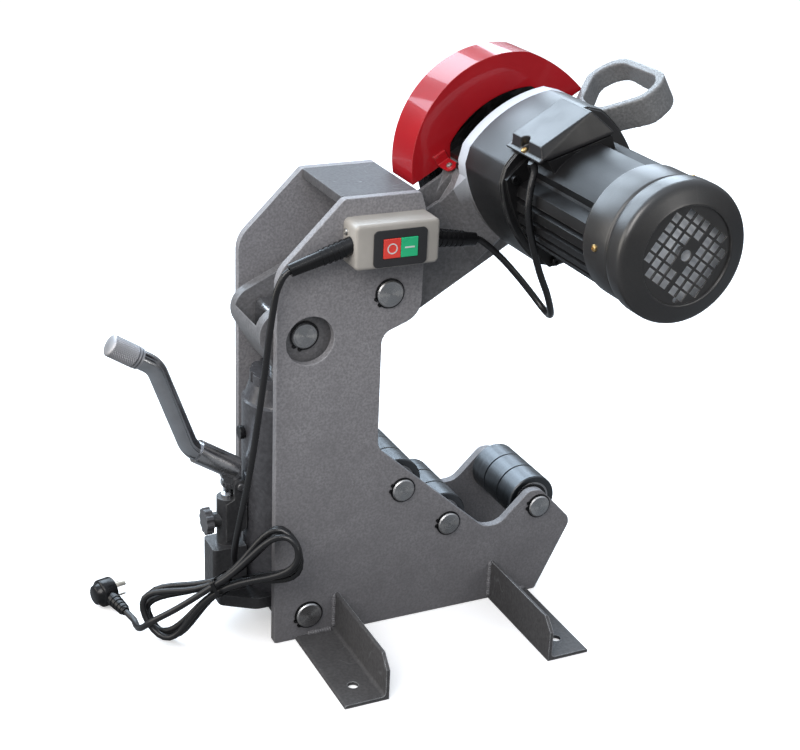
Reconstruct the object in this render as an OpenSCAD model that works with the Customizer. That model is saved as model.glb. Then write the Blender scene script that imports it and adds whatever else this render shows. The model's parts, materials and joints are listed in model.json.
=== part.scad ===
// Electric pipe cutter: a hydraulic bottle jack swings a motor-driven cutter wheel
// down on a pipe that lies on three rollers between two side plates.
// Frame: origin on the floor at the centre of the four foot holes, +X towards the
// rollers, +Z up, the motor on the -Y side. Millimetres.

/* [Frame plates] */
// Height of the side plates
frame_h = 600; // [560:5:640]
// Thickness of the side plates
plate_t = 12; // [9:1:15]
// Clear width between the side plates
plate_gap = 126; // [122:1:134]
// Distance of the rear edge behind the origin
plate_back = 204; // [198:1:212]
// Depth of the column, rear edge to the throat
column_depth = 140; // [134:1:146]
// Depth of the head, rear edge to the front edge
head_depth = 193; // [186:1:200]
// Length of the sloped rear corner, along X and Z
rear_slope = 85; // [78:1:90]
// Thickness of the top tie plate
tie_t = 12; // [8:1:16]

/* [Feet] */
// Leg width of the angle iron
foot_leg = 60; // [50:1:70]
// Thickness of the angle iron
foot_t = 5; // [4:0.5:8]
// Length of each foot beyond the side plate
foot_len = 168; // [155:1:185]
// Foot hole spacing along X
foot_pitch_x = 294; // [286:2:302]
// Distance of the foot holes from the side plates
foot_hole_out = 130; // [115:1:140]
// Foot hole diameter
foot_hole_d = 14; // [10:0.5:18]
// Distance of the foot hole from the back of the angle
foot_gauge = 33; // [28:1:38]

/* [Rollers] */
// Radius of the support rollers
roller_r = 35; // [32:0.5:37]
// Length of the support rollers
roller_len = 112; // [100:1:116]
// Roller pin diameter
roller_pin_d = 31; // [26:0.5:33]
// Rear roller place along X
rear_roller_x = -26; // [-30:1:-22]
// Rear roller height
rear_roller_z = 196; // [190:1:204]
// Middle roller place along X
middle_roller_x = 44; // [40:1:48]
// Height of the middle and front rollers
low_roller_z = 133; // [128:1:140]
// Front roller place along X
front_roller_x = 183; // [178:1:188]

/* [Swing arm] */
// Arm pivot place along X
pivot_x = -56; // [-60:1:-52]
// Arm pivot depth below the top of the plates
pivot_drop = 126; // [120:1:134]
// Arm pivot pin diameter
pivot_pin_d = 35; // [30:0.5:38]
// Tilt of the raised arm in degrees
rest_tilt = 30.6; // [28:0.2:32]
// Head axis ahead of the pivot, along the arm
arm_reach = 230; // [226:1:236]
// Head axis above the pivot, square to the arm
head_rise = 30; // [26:1:34]
// Ram pin behind the pivot, along the arm
lever_len = 115; // [112:1:118]
// Ram pin above the pivot, square to the arm
lever_rise = 10; // [8:0.5:12]
// Ram pin diameter at the arm's cheeks
ram_pin_d = 34; // [30:0.5:36]

/* [Cutter and guard] */
// Radius of the cutter wheel
cutter_r = 115; // [105:1:122]
// Thickness of the cutter wheel at its hub
cutter_t = 10; // [7:0.5:12]
// Outer radius of the guard
guard_r = 135.5; // [132:0.5:140]
// Width of the guard
guard_w = 60; // [54:1:66]
// Sheet thickness of the guard
guard_t = 2.5; // [1.5:0.25:4]

/* [Motor] */
// Half side of the gear housing and head flange
housing_half = 72; // [68:1:75]
// Bulge of their sides
housing_bulge = 17; // [12:1:20]
// Length of the gear housing
housing_len = 90; // [82:1:98]
// Radius of the fin tips
fin_r = 75; // [72:0.5:78]
// Height of a fin
fin_h = 11; // [6:0.5:14]
// Fin spacing
fin_pitch = 16; // [14:0.5:18]
// Length of the finned motor frame
motor_len = 159; // [150:1:170]
// Radius of the fan cover's rim
cover_r = 80.5; // [79.5:0.5:83]
// Length of the fan cover
cover_len = 85; // [78:1:92]
// Side of a grille hole
grille_hole = 9; // [7:0.5:10]
// Spacing of the grille holes
grille_pitch = 12.5; // [11.5:0.5:14]

/* [Jack] */
// Tank radius
tank_r = 55; // [50:0.5:58]
// Ram pin height above the top of the tank
tank_drop = 99; // [94:1:110]
// Ram radius
ram_r = 20; // [16:0.5:22]
// Jack base pin place along X
base_pin_x = -156; // [-162:1:-150]
// Jack base pin height
base_pin_z = 35; // [33:1:38]
// Handle tube diameter
handle_d = 25; // [22:0.5:28]

/* [Switch] */
// Switch box length
box_l = 111; // [100:1:118]
// Switch box height
box_h = 57; // [52:1:60]
// Switch box depth
box_d = 37; // [32:1:42]
// Travel of the push buttons
button_travel = 4; // [2:0.5:5]

/* [Cords] */
// Diameter of the mains cord and the motor lead
cord_d = 8.5; // [7:0.5:9]
// Loops in the hank
hank_loops = 4; // [2:1:5]

/* [Hidden] */
$fn = 64;

// Clearances
fit = 0.05;         // radial running fit of pins, bushes and shafts
part_gap = 0.4;     // gap between faces that move past each other
seat_gap = 0.3;     // gap under a piece that is screwed down
eps = 0.01;         // overshoot of cuts

// Frame places
plate_in = plate_gap / 2;
plate_out = plate_in + plate_t;
rear_x = -plate_back;
column_x = rear_x + column_depth;
head_x_front = rear_x + head_depth;
pivot_z = frame_h - pivot_drop;
roller_pin_r = roller_pin_d / 2;
pivot_pin_r = pivot_pin_d / 2;
pin_out = 4.5;      // length of a pin outside the side plate
clip_t = 2;         // circlip thickness
clip_w = 4;         // radial width of a circlip outside its pin
clip_seat = 1.5;    // depth of the circlip groove
pin_edge = 24;      // pin centres below the sloped throat edge
bump_r = 24.5;      // plate above the front roller pin's axis
boss_side_gap = 0.5;

// Arm places
arm_cos = cos(rest_tilt);
arm_sin = sin(rest_tilt);
ram_pin_r = ram_pin_d / 2;
ram_pin_x = pivot_x - lever_len * arm_cos - lever_rise * arm_sin;
ram_pin_z = pivot_z - lever_len * arm_sin + lever_rise * arm_cos;
access_r = 31.5;    // access hole in the plates at the ram pin
arm_rear_r = 52;    // rounded rear end of the arm
arm_rear_half = 54; // half width of the rear end
cheek_in = 38;      // inner faces of the rear cheeks
rear_wall = 10;     // wall of the rear end behind the ram pin
arm_half = 48;      // half width of the arm's middle
arm_low = -60;      // lower edge of the arm
arm_top = 50;       // upper edge of the arm
bush_t = 2.5;
tine_back = -27;    // the arm's head tine, from here to -arm_half
pocket_near = -41;  // pocket between the ridge and the web of the tine
pocket_far = -32;

// Head depths along Y
guard_y = -25;
flange_far = -60;
flange_near = -88;
housing_at = [4, 2];    // gear housing off the motor axis
housing_near = flange_near - housing_len;
motor_flange_t = 6;
motor_y = housing_near - motor_flange_t;
motor_end = motor_y - motor_len;
cover_lap = 5;
cover_start = motor_end + cover_lap;
cover_end = cover_start - cover_len;
hub_r = 46;
hub_y = -14;
spindle_r = 18;
spindle_bearing_r = 32;
collar_y = -12;
cutter_y = 0;
stub_r = 15;
rotor_r = 36;
shaft_r = 10;
shaft_bearing_r = 18;

// Jack places
jack_lead = 7;      // jack axis ahead of the lever's reach
jack_x = pivot_x - lever_len + jack_lead;
tank_top = ram_pin_z - tank_drop;
tank_bottom = 60;
cone_h = 20;
gland_h = 13;
gland_r = 45;
cylinder_r = 28;
slot_x = 8;         // sideways play of the ram's eye on the pin
slot_z = 1.5;       // height play of the ram's eye on the pin
eye_pin_r = 12;     // ram pin radius inside the eye
eye_wall = 8;
base_low = 44;      // underside of the base behind the plates
base_lug_low = 12;  // underside of the lug round the base pin
base_top = 60;
base_half = 53;
pump_x = jack_x - 78;
pump_r = 14;
pump_top = 190;
plunger_r = 8;
valve_z = 158;
knob_r = 18;
knob_t = 10;
fulcrum_x = jack_x - tank_r - 9.5;
fulcrum_z = 208;
fulcrum_r = 5;
lug_r = 8.5;
rocker_half = 9;
lug_t = 6;
pump_swing = 40;    // travel of the handle in degrees
pump_pin_x = pump_x;
pump_pin_z = fulcrum_z + (fulcrum_x - pump_x) * tan(pump_swing / 4);
pump_pin_r = 3.2;
handle_r = handle_d / 2;
socket_r = handle_r + 3;
socket_from = 14;   // start of the socket along the handle, from the fulcrum
socket_len = 60;
socket_rise = 15.5; // socket axis off the fulcrum
handle_tilt = 147;  // direction of the handle's first leg in XZ

// Switch box places
box_x = -120;       // rear face of the box
box_z = frame_h - 79;   // underside of the box
box_y = -plate_out;
box_wall = 2.5;
bezel_l = 70;
bezel_h = 46;
bezel_x = box_x + box_l / 2 + 2.5;
bezel_z = box_z + box_h / 2 - 3;
button_l = 22.5;
button_h = 24.5;
button_out = 3;

// Cord routes, by hand
cord_r = cord_d / 2;
mains_exit = [-120, -96, 549];
mains_relief_end = [-194, -90, 524];
motor_exit = [-9, -96, 548];
motor_relief_end = [46, -98, 541];
run_route = [
    mains_relief_end, [-202, -90, 517], [-210, -90, 500], [-214, -90, 480], [-219, -90, 445],
    [-225, -89, 390], [-233, -87, 325], [-240, -84, 270], [-246, -80, 228], [-250, -72, 191],
    [-252, -64, 161], [-252, -56, 134], [-248, -48, 115]
];
tail_route = [[-327, -49, 67], [-355, -33, 45], [-365, -14, 26], [-364, 10, 14], [-363, 27, 13],
              [-365.5, 38.4, 14.1], [-368, 48, 15]];
plug_dir = [-0.25, 0.96, 0.09];
lead_route = [
    motor_relief_end, [56, -99, 537], [80, -104, 516], [102, -112, 491], [118, -124, 469],
    [126, -138, 455], [126, -156, 452], [116, -174, 466], [98, -192, 496], [76, -206, 533],
    [57, -216, 576], [45, -224, 612], [47, -221, 638], [52.5, -218, 661], [47.2, -218, 670.6]
];

// Hank: centre of the tie, half length, lobe width, waist
hank_c = [-270, -61, 97.5];
hank_u = unit([0.669, -0.4545, 0.5845]);
hank_w = carried([-0.667, -0.714, 0.211], hank_u);
hank_v = cross(hank_w, hank_u);
hank_half = 120;
hank_lobe = 68;
hank_waist = 0.08;
hank_step = cord_d + 0.9;
rings_per_loop = 24;

function unit(v) = v / norm(v);

// Corner list [x, z, radius] to an outline with round corners
function corner_arc(p, c, q, r, n) =
    let (u = unit(p - c), v = unit(q - c), half = acos(min(1, max(-1, u * v))) / 2)
    r <= 0 || half > 89.5 ? [c] :
    let (m = c + unit(u + v) * r / sin(half), s = c + u * r / tan(half), e = c + v * r / tan(half),
         a0 = atan2(s.y - m.y, s.x - m.x), a1 = atan2(e.y - m.y, e.x - m.x),
         d = a1 - a0, sweep = d > 180 ? d - 360 : d < -180 ? d + 360 : d)
    [for (k = [0:n]) m + r * [cos(a0 + sweep * k / n), sin(a0 + sweep * k / n)]];
function rounded(pts, n = 6) =
    let (m = len(pts), xy = [for (p = pts) [p.x, p.y]])
    [for (i = [0:m - 1]) each corner_arc(xy[(i + m - 1) % m], xy[i], xy[(i + 1) % m], pts[i][2], n)];

// Placing helpers: a profile in XZ pulled along Y, a cylinder along Y
module along_y(y0, y1) { translate([0, y1, 0]) rotate([90, 0, 0]) linear_extrude(y1 - y0) children(); }
module rod_y(x, z, r, y0, y1) { translate([x, y1, z]) rotate([90, 0, 0]) cylinder(r = r, h = y1 - y0); }
module turned_y(y) { translate([0, y, 0]) rotate([90, 0, 0]) rotate_extrude() children(); }
module on_arm() { translate([pivot_x, 0, pivot_z]) rotate([0, -rest_tilt, 0]) children(); }
module on_head() { on_arm() translate([arm_reach, 0, head_rise]) children(); }
module box_2d(x0, z0, x1, z1, r = 0) { polygon(rounded([[x0, z0, r], [x1, z0, r], [x1, z1, r], [x0, z1, r]])); }

// A round tube swept along points, one closed polyhedron
function tangent(p, i) = unit(p[min(i + 1, len(p) - 1)] - p[max(i - 1, 0)]);
function carried(n, t) = unit(n - (n * t) * t);
function normals(p, i = 0, n = [0.31, 0.62, 0.72], out = []) =
    i == len(p) ? out :
    let (m = carried(n, tangent(p, i))) normals(p, i + 1, m, concat(out, [m]));
module tube(p, r, sides) {
    n = normals(p);
    rings = [for (i = [0:len(p) - 1], k = [0:sides - 1])
        let (b = cross(tangent(p, i), n[i]), a = 360 * k / sides)
        p[i] + r * (cos(a) * n[i] + sin(a) * b)];
    last = len(p) - 1;
    side = [for (i = [0:last - 1], k = [0:sides - 1])
        let (a = i * sides + k, b = i * sides + (k + 1) % sides)
        each [[a, a + sides, b], [b, a + sides, b + sides]]];
    caps = concat([[for (k = [0:sides - 1]) k]], [[for (k = [sides - 1:-1:0]) last * sides + k]]);
    polyhedron(points = rings, faces = concat(side, caps), convexity = 6);
}

// Smooth curve through route points
function spline_point(p, i, t) =
    let (a = p[max(i - 1, 0)], b = p[i], c = p[i + 1], d = p[min(i + 2, len(p) - 1)])
    0.5 * (2 * b + (c - a) * t + (2 * a - 5 * b + 4 * c - d) * t * t + (3 * b - a - 3 * c + d) * t * t * t);
function spline(p, n) =
    concat([for (i = [0:len(p) - 2], k = [0:n - 1]) spline_point(p, i, k / n)], [p[len(p) - 1]]);

// Side plate outline: rear slope, throat, roller cradle and nose
throat_dir = unit([middle_roller_x - rear_roller_x, low_roller_z - rear_roller_z]);
throat_at = [rear_roller_x, rear_roller_z] + pin_edge * [-throat_dir.y, throat_dir.x];
throat_col_z = throat_at.y + throat_dir.y * (column_x - throat_at.x) / throat_dir.x;
cradle_z = low_roller_z - 17.5;
cradle_x = throat_at.x + throat_dir.x * (cradle_z - throat_at.y) / throat_dir.y;
module side_plate_2d() {
    shoulder_z = pivot_z - 34;
    difference() {
        polygon(rounded([
            [rear_x, 0, 4], [rear_x, frame_h - rear_slope, 40], [rear_x + rear_slope, frame_h, 8],
            [head_x_front - 7, frame_h, 4], [head_x_front, frame_h - 20, 6],
            [head_x_front, shoulder_z, 30], [column_x, shoulder_z - 20, 18],
            [column_x, throat_col_z, 26], [cradle_x, cradle_z, 26],
            [front_roller_x - 58.6, cradle_z, 26], [front_roller_x - 16, low_roller_z + bump_r, 16],
            [front_roller_x + 2.6, low_roller_z + bump_r, 20],
            [front_roller_x + 54.8, low_roller_z - 31.6, 16], [front_roller_x + 5, 0, 4]
        ], 8));
        for (p = [[pivot_x, pivot_z, pivot_pin_r], [base_pin_x, base_pin_z, pivot_pin_r],
                  [rear_roller_x, rear_roller_z, roller_pin_r], [middle_roller_x, low_roller_z, roller_pin_r],
                  [front_roller_x, low_roller_z, roller_pin_r]])
            translate([p.x, p.y]) circle(p[2] + fit);
        translate([ram_pin_x, ram_pin_z]) circle(access_r);
    }
}
module near_side_plate() { color("#68696b") along_y(-plate_out, -plate_in) side_plate_2d(); }
module far_side_plate() { color("#68696b") along_y(plate_in, plate_out) side_plate_2d(); }
module top_tie_plate() {
    color("#707173")
        along_y(-plate_in, plate_in)
            box_2d(rear_x + rear_slope, frame_h - tie_t, head_x_front - 8, frame_h);
}

// Angle feet, welded to the plates, uprights towards the middle
module foot(front, far) {
    back = foot_pitch_x / 2 - foot_gauge;
    mirror([front ? 0 : 1, 0, 0]) mirror([0, far ? 0 : 1, 0])
        difference() {
            along_y(plate_out, plate_out + foot_len)
                polygon(rounded([[back, 0, 0], [back + foot_leg, 0, 0], [back + foot_leg, foot_t, foot_t / 2],
                                 [back + foot_t, foot_t, foot_t], [back + foot_t, foot_leg, foot_t / 2],
                                 [back, foot_leg, 0]]));
            translate([foot_pitch_x / 2, plate_out + foot_hole_out, -eps])
                cylinder(d = foot_hole_d, h = foot_t + 2 * eps);
            translate([back - eps, plate_out + foot_len, foot_leg])
                rotate([0, 90, 0]) rotate(45)
                    translate([-12, -12, 0]) cube([24, 24, foot_t + 2 * eps]);
        }
}
module foot_rear_near() { color("#68696b") foot(false, false); }
module foot_rear_far() { color("#68696b") foot(false, true); }
module foot_front_near() { color("#68696b") foot(true, false); }
module foot_front_far() { color("#68696b") foot(true, true); }

// Pins with a circlip groove just outside each plate
module grooved_pin(x, z, r, half, groove) {
    chamfer = 1.5;
    translate([x, 0, z]) turned_y(0) polygon([
        [0, -half], [r - chamfer, -half], [r, -half + chamfer],
        [r, -groove - clip_t], [r - clip_seat, -groove - clip_t], [r - clip_seat, -groove], [r, -groove],
        [r, groove], [r - clip_seat, groove], [r - clip_seat, groove + clip_t], [r, groove + clip_t],
        [r, half - chamfer], [r - chamfer, half], [0, half]
    ]);
}
module plate_pin(x, z, r) { grooved_pin(x, z, r, plate_out + pin_out, plate_out); }
module arm_pivot_pin() { color("#7d7f82") plate_pin(pivot_x, pivot_z, pivot_pin_r); }
module rear_roller_pin() { color("#7d7f82") plate_pin(rear_roller_x, rear_roller_z, roller_pin_r); }
module middle_roller_pin() { color("#7d7f82") plate_pin(middle_roller_x, low_roller_z, roller_pin_r); }
module front_roller_pin() { color("#7d7f82") plate_pin(front_roller_x, low_roller_z, roller_pin_r); }
module jack_base_pin() { color("#7d7f82") plate_pin(base_pin_x, base_pin_z, pivot_pin_r); }

// External circlip: a horseshoe ring with two drilled lugs
module circlip_2d(r, turn) {
    lug_r = 3.4;
    lug_at = r + clip_w * 0.7;
    mouth = 17;
    rotate(turn) difference() {
        union() {
            difference() {
                circle(r + clip_w);
                circle(r - clip_seat + fit);
                polygon([[0, 0], 2 * r * [cos(mouth), sin(mouth)], 2 * r * [cos(mouth), -sin(mouth)]]);
            }
            for (s = [-1, 1]) rotate(s * (mouth + 6)) translate([lug_at, 0]) circle(lug_r);
        }
        circle(r - clip_seat + fit);
        for (s = [-1, 1]) rotate(s * (mouth + 6)) translate([lug_at + 0.6, 0]) circle(1.1);
    }
}
module circlip_pair(x, z, r, groove, turn) {
    for (y = [-groove - clip_t, groove])
        along_y(y + fit / 2, y + clip_t - fit / 2) translate([x, z]) circlip_2d(r, turn);
}
module pin_circlips() {
    color("#191919") {
        circlip_pair(pivot_x, pivot_z, pivot_pin_r, plate_out, 215);
        circlip_pair(base_pin_x, base_pin_z, pivot_pin_r, plate_out, 215);
        circlip_pair(rear_roller_x, rear_roller_z, roller_pin_r, plate_out, 165);
        circlip_pair(middle_roller_x, low_roller_z, roller_pin_r, plate_out, 165);
        circlip_pair(front_roller_x, low_roller_z, roller_pin_r, plate_out, 165);
    }
}

// Support rollers: three bands, a bearing in each end
bearing_r = 26;
bearing_w = 15;
roller_groove = 3;
module roller(x, z) {
    half = roller_len / 2;
    band = roller_len / 6;
    core = roller_pin_r + 2.5;
    edge = 1.5;
    translate([x, 0, z]) turned_y(0) polygon([
        [core, -half + bearing_w], [bearing_r, -half + bearing_w], [bearing_r, -half],
        [roller_r - edge, -half], [roller_r, -half + edge],
        [roller_r, -band - edge], [roller_r - roller_groove, -band - 0.5],
        [roller_r - roller_groove, -band + 0.5], [roller_r, -band + edge],
        [roller_r, band - edge], [roller_r - roller_groove, band - 0.5],
        [roller_r - roller_groove, band + 0.5], [roller_r, band + edge],
        [roller_r, half - edge], [roller_r - edge, half],
        [bearing_r, half], [bearing_r, half - bearing_w], [core, half - bearing_w]
    ]);
}
module bearing_ring(x, z, r_in, r_out, y0, y1) {
    along_y(y0, y1) translate([x, z]) difference() { circle(r_out); circle(r_in); }
}
module roller_bearings(x, z) {
    for (s = [-1, 1]) {
        y = s * (roller_len - bearing_w) / 2;
        bearing_ring(x, z, roller_pin_r + fit, bearing_r - fit / 2, y - bearing_w / 2 + fit, y + bearing_w / 2 - fit);
    }
}
module rear_roller() { color("#3a3b3e") roller(rear_roller_x, rear_roller_z); }
module middle_roller() { color("#3a3b3e") roller(middle_roller_x, low_roller_z); }
module front_roller() { color("#3a3b3e") roller(front_roller_x, low_roller_z); }
module rear_roller_bearings() { color("#8b8d90") roller_bearings(rear_roller_x, rear_roller_z); }
module middle_roller_bearings() { color("#8b8d90") roller_bearings(middle_roller_x, low_roller_z); }
module front_roller_bearings() { color("#8b8d90") roller_bearings(front_roller_x, low_roller_z); }

// Square with bulged sides, as the head flange and the gear housing have
module bulged_2d(half, bulge) {
    r = (half * half + bulge * bulge) / (2 * bulge);
    intersection_for(k = [0:3]) rotate(90 * k) translate([half + bulge - r, 0]) circle(r, $fn = 128);
}
module head_2d(inset) {
    corner = 98 - inset;
    intersection() {
        translate(housing_at) bulged_2d(housing_half - inset, housing_bulge);
        translate(housing_at) rotate(45) square(2 * corner * housing_half / 72, center = true);
    }
}

// Swing arm: rear cheeks round the ram pin, middle, one-sided head tine, flange and hub
module swing_arm() {
    pivot_boss_r = 44;
    neck_x = arm_reach - guard_r - 4;
    cavity_r = arm_rear_r - rear_wall;
    web_top = head_rise + 39;
    pocket_deep = 34;
    pocket_tip = arm_reach - housing_half - 13;
    color("#727375") on_arm() difference() {
        union() {
            along_y(-arm_rear_half, arm_rear_half) polygon(rounded([
                [-lever_len - arm_rear_r, lever_rise - arm_rear_r, arm_rear_r * 0.6],
                [-lever_len - arm_rear_r, lever_rise + arm_rear_r, arm_rear_r * 0.6],
                [-30, arm_top, 0], [-30, arm_low, 0]], 10));
            along_y(-arm_half, arm_half) polygon(rounded([
                [-40, arm_low + 12, 12], [-40, arm_top, 12], [neck_x, arm_top, 6], [neck_x, arm_low, 6],
                [0, arm_low, 20]]));
            along_y(-arm_half, tine_back) polygon(rounded([
                [0, arm_low, 0], [0, arm_top, 0], [arm_reach - housing_half, arm_top, 0],
                [arm_reach, head_rise, 0], [arm_reach, arm_low, 8]]));
            along_y(pocket_far, tine_back) polygon([
                [neck_x - 20, 0], [neck_x - 20, arm_top], [neck_x + 8, web_top],
                [arm_reach - housing_half + 4, web_top], [arm_reach - housing_half + 4, 0]]);
            rod_y(0, 0, pivot_boss_r, -plate_in + boss_side_gap, plate_in - boss_side_gap);
            hull() {
                translate([neck_x + 26, -arm_half, arm_low + 6]) cube([2, arm_half + tine_back, arm_top - arm_low - 8]);
                translate([arm_reach - housing_half - 4, flange_near, head_rise - 50])
                    cube([10, tine_back - flange_near, 50 + tab_z - seat_gap]);
            }
            translate([arm_reach, 0, head_rise]) {
                along_y(flange_near, flange_far) head_2d(0);
                along_y(flange_far, tine_back) head_2d(8);
                rod_y(0, 0, hub_r, flange_near, hub_y);
            }
        }
        rod_y(0, 0, pivot_pin_r + fit + bush_t, -plate_in, plate_in);
        rod_y(-lever_len, lever_rise, ram_pin_r + fit, -arm_rear_half - eps, arm_rear_half + eps);
        along_y(-cheek_in, cheek_in) box_2d(-lever_len - cavity_r, -3 * arm_rear_r, -lever_len + cavity_r + 4,
                                            3 * arm_rear_r);
        along_y(-cheek_in, cheek_in) translate([-lever_len, lever_rise])
            polygon([[-cavity_r, -16], [-90, -98], [75, -105], [cavity_r + 4, -30], [cavity_r + 4, 0], [-cavity_r, 0]]);
        translate([0, 0, arm_top - pocket_deep]) linear_extrude(pocket_deep + 60) polygon(rounded([
            [neck_x - 14, pocket_far, 3], [neck_x - 14, pocket_near, 3], [neck_x + 22, pocket_near - 1, 20],
            [pocket_tip, flange_far + 3, 5], [pocket_tip + 2, flange_far + 12, 4], [neck_x + 38, pocket_far, 20]], 6));
        translate([arm_reach, 0, head_rise]) {
            rod_y(0, 0, spindle_bearing_r + fit / 2, flange_near - eps, hub_y + eps);
            translate([tab_x[0] - part_gap, guard_y - tab_out - part_gap, tab_z - seat_gap])
                cube([tab_x[1] - tab_x[0] + 2 * part_gap, tab_out, 40]);
        }
    }
}
module pivot_bushes() {
    color("#b08a4a") on_arm() for (s = [-1, 1])
        bearing_ring(0, 0, pivot_pin_r + fit, pivot_pin_r + bush_t + fit / 2,
                     s > 0 ? 24 : -plate_in + boss_side_gap, s > 0 ? plate_in - boss_side_gap : -24);
}
module ram_pin() {
    half = arm_rear_half + 4;
    color("#7d7f82") translate([ram_pin_x, 0, ram_pin_z]) turned_y(0) polygon([
        [0, -half], [ram_pin_r - 1.5, -half], [ram_pin_r, -half + 1.5],
        [ram_pin_r, -arm_rear_half - clip_t], [ram_pin_r - clip_seat, -arm_rear_half - clip_t],
        [ram_pin_r - clip_seat, -arm_rear_half], [ram_pin_r, -arm_rear_half],
        [ram_pin_r, -cheek_in], [eye_pin_r, -cheek_in], [eye_pin_r, cheek_in], [ram_pin_r, cheek_in],
        [ram_pin_r, arm_rear_half], [ram_pin_r - clip_seat, arm_rear_half],
        [ram_pin_r - clip_seat, arm_rear_half + clip_t], [ram_pin_r, arm_rear_half + clip_t],
        [ram_pin_r, half - 1.5], [ram_pin_r - 1.5, half], [0, half]
    ]);
}
module ram_pin_circlips() {
    color("#191919") circlip_pair(ram_pin_x, ram_pin_z, ram_pin_r, arm_rear_half, 240);
}

// Stirrup handle on the front of the head flange, a strap on edge
module lift_handle() {
    strap_t = 11;
    strap_h = 39;
    strap_low = -15.5;
    far_rise = 15;      // the strap's underside climbs by this much from its near to its far side
    reach_y = 75;
    root = housing_half + housing_bulge + housing_at.x;
    front = root + 106;
    mid_y = (flange_near + flange_far) / 2;
    color("#6d6e70") on_head() difference() {
        translate([0, mid_y, strap_low]) linear_extrude(strap_h) difference() {
            polygon(rounded([
                [root - 9, 13, 0], [root + 12, 30, 8], [root + 58, 68, 26], [front, 60, 34],
                [front, -60, 34], [root + 58, -68, 26], [root + 12, -30, 8], [root - 9, -13, 0]], 8));
            polygon(rounded([
                [root + 15, 0, 4], [root + 22, 24, 12], [root + 61, 56, 18], [front - strap_t, 49, 24],
                [front - strap_t, -49, 24], [root + 61, -56, 18], [root + 22, -24, 12]], 8));
        }
        along_y(flange_near - 60, flange_far + 60) head_2d(0);
        translate([0, mid_y, strap_low]) rotate([90, 0, 90]) linear_extrude(2 * front)
            polygon([[-reach_y, -1], [reach_y, -1], [reach_y, far_rise]]);
        along_y(guard_y - part_gap, guard_y + guard_w + part_gap) guard_2d(-2 * part_gap);
    }
}

// Guard: a sheet-metal half moon over the wheel, open below, with one folded tab
guard_dip = 6.9;    // how far the flatter front arc lies inside the guard's radius
guard_front_r = 215;
guard_front_turn = 22;
tab_x = [-87, -70];
tab_z = 48.5;
tab_out = 31;       // reach of the tab beyond the guard's near face
tab_rise = 14;      // height of the tab's folded root on the guard's face
module guard_2d(inset) {
    intersection() {
        circle(guard_r - inset, $fn = 128);
        rotate(guard_front_turn) translate([guard_r - guard_dip - guard_front_r, 0])
            circle(guard_front_r - inset, $fn = 192);
    }
}
module guard_window_2d() {
    polygon([[-200, 47], [-60, 47], [55, 19.5], [200, 19.5], [200, 200], [-200, 200]]);
}
module cutter_guard() {
    mouth_r = 77;
    tab_end_r = (tab_x[1] - tab_x[0]) * 0.45;
    color("#a81822") on_head() {
        difference() {
            along_y(guard_y, guard_y + guard_w) intersection() { guard_2d(0); guard_window_2d(); }
            along_y(guard_y + guard_t, guard_y + guard_w - guard_t) guard_2d(guard_t);
            rod_y(0, 0, mouth_r, guard_y - eps, guard_y + guard_t + eps);
        }
        translate([0, 0, tab_z]) linear_extrude(guard_t) polygon(rounded([
            [tab_x[0], guard_y, 0], [tab_x[0], guard_y - tab_out, tab_end_r], [tab_x[1], guard_y - tab_out, tab_end_r],
            [tab_x[1], guard_y, 0]], 8));
        translate([tab_x[0], guard_y - guard_t, tab_z]) cube([tab_x[1] - tab_x[0], guard_t + 1, tab_rise]);
    }
}

// Gear housing and motor
module gear_housing() {
    foot_r = 8;
    color("#1d1f22") on_head() difference() {
        union() {
            along_y(housing_near + 3, flange_near) head_2d(0);
            along_y(housing_near, housing_near + 3) head_2d(2);
        }
        rod_y(0, 0, spindle_r + part_gap, flange_near - 30, flange_near + eps);
        rod_y(0, 0, shaft_r + part_gap, housing_near - eps, housing_near + 60);
        rod_y(0, 0, shaft_bearing_r + foot_r, housing_near - eps, housing_near + 8);
    }
}
module fins_2d() {
    core_r = fin_r - fin_h;
    smooth = 58;
    union() {
        circle(core_r, $fn = 128);
        intersection() {
            circle(fin_r, $fn = 128);
            union() {
                for (z = [-smooth + fin_pitch / 2 : fin_pitch : smooth - fin_pitch / 2])
                    translate([-fin_r, z - fin_pitch * 0.31]) square([2 * fin_r, fin_pitch * 0.62]);
                for (s = [-1, 1]) translate([-36, s > 0 ? 0 : -fin_r]) square([72, fin_r]);
            }
        }
    }
}
module motor_frame() {
    bore_gap = 0.5;
    seat_y = [motor_y - 56, motor_y - 2];
    ring = 10;
    color("#1b1d20") on_head() difference() {
        union() {
            along_y(motor_y, housing_near) bulged_2d(housing_half - 6, housing_bulge - 7);
            along_y(motor_end + ring, motor_y) fins_2d();
            rod_y(0, 0, fin_r, motor_end, motor_end + ring);
            along_y(seat_y[0], seat_y[1]) polygon([[-28, 40], [48, 40], [52, 66], [-30, 86]]);
        }
        rod_y(0, 0, rotor_r + bore_gap, motor_end + 14, motor_y - 14);
        rod_y(0, 0, shaft_bearing_r + fit / 2, motor_end - eps, housing_near + eps);
    }
}
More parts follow.
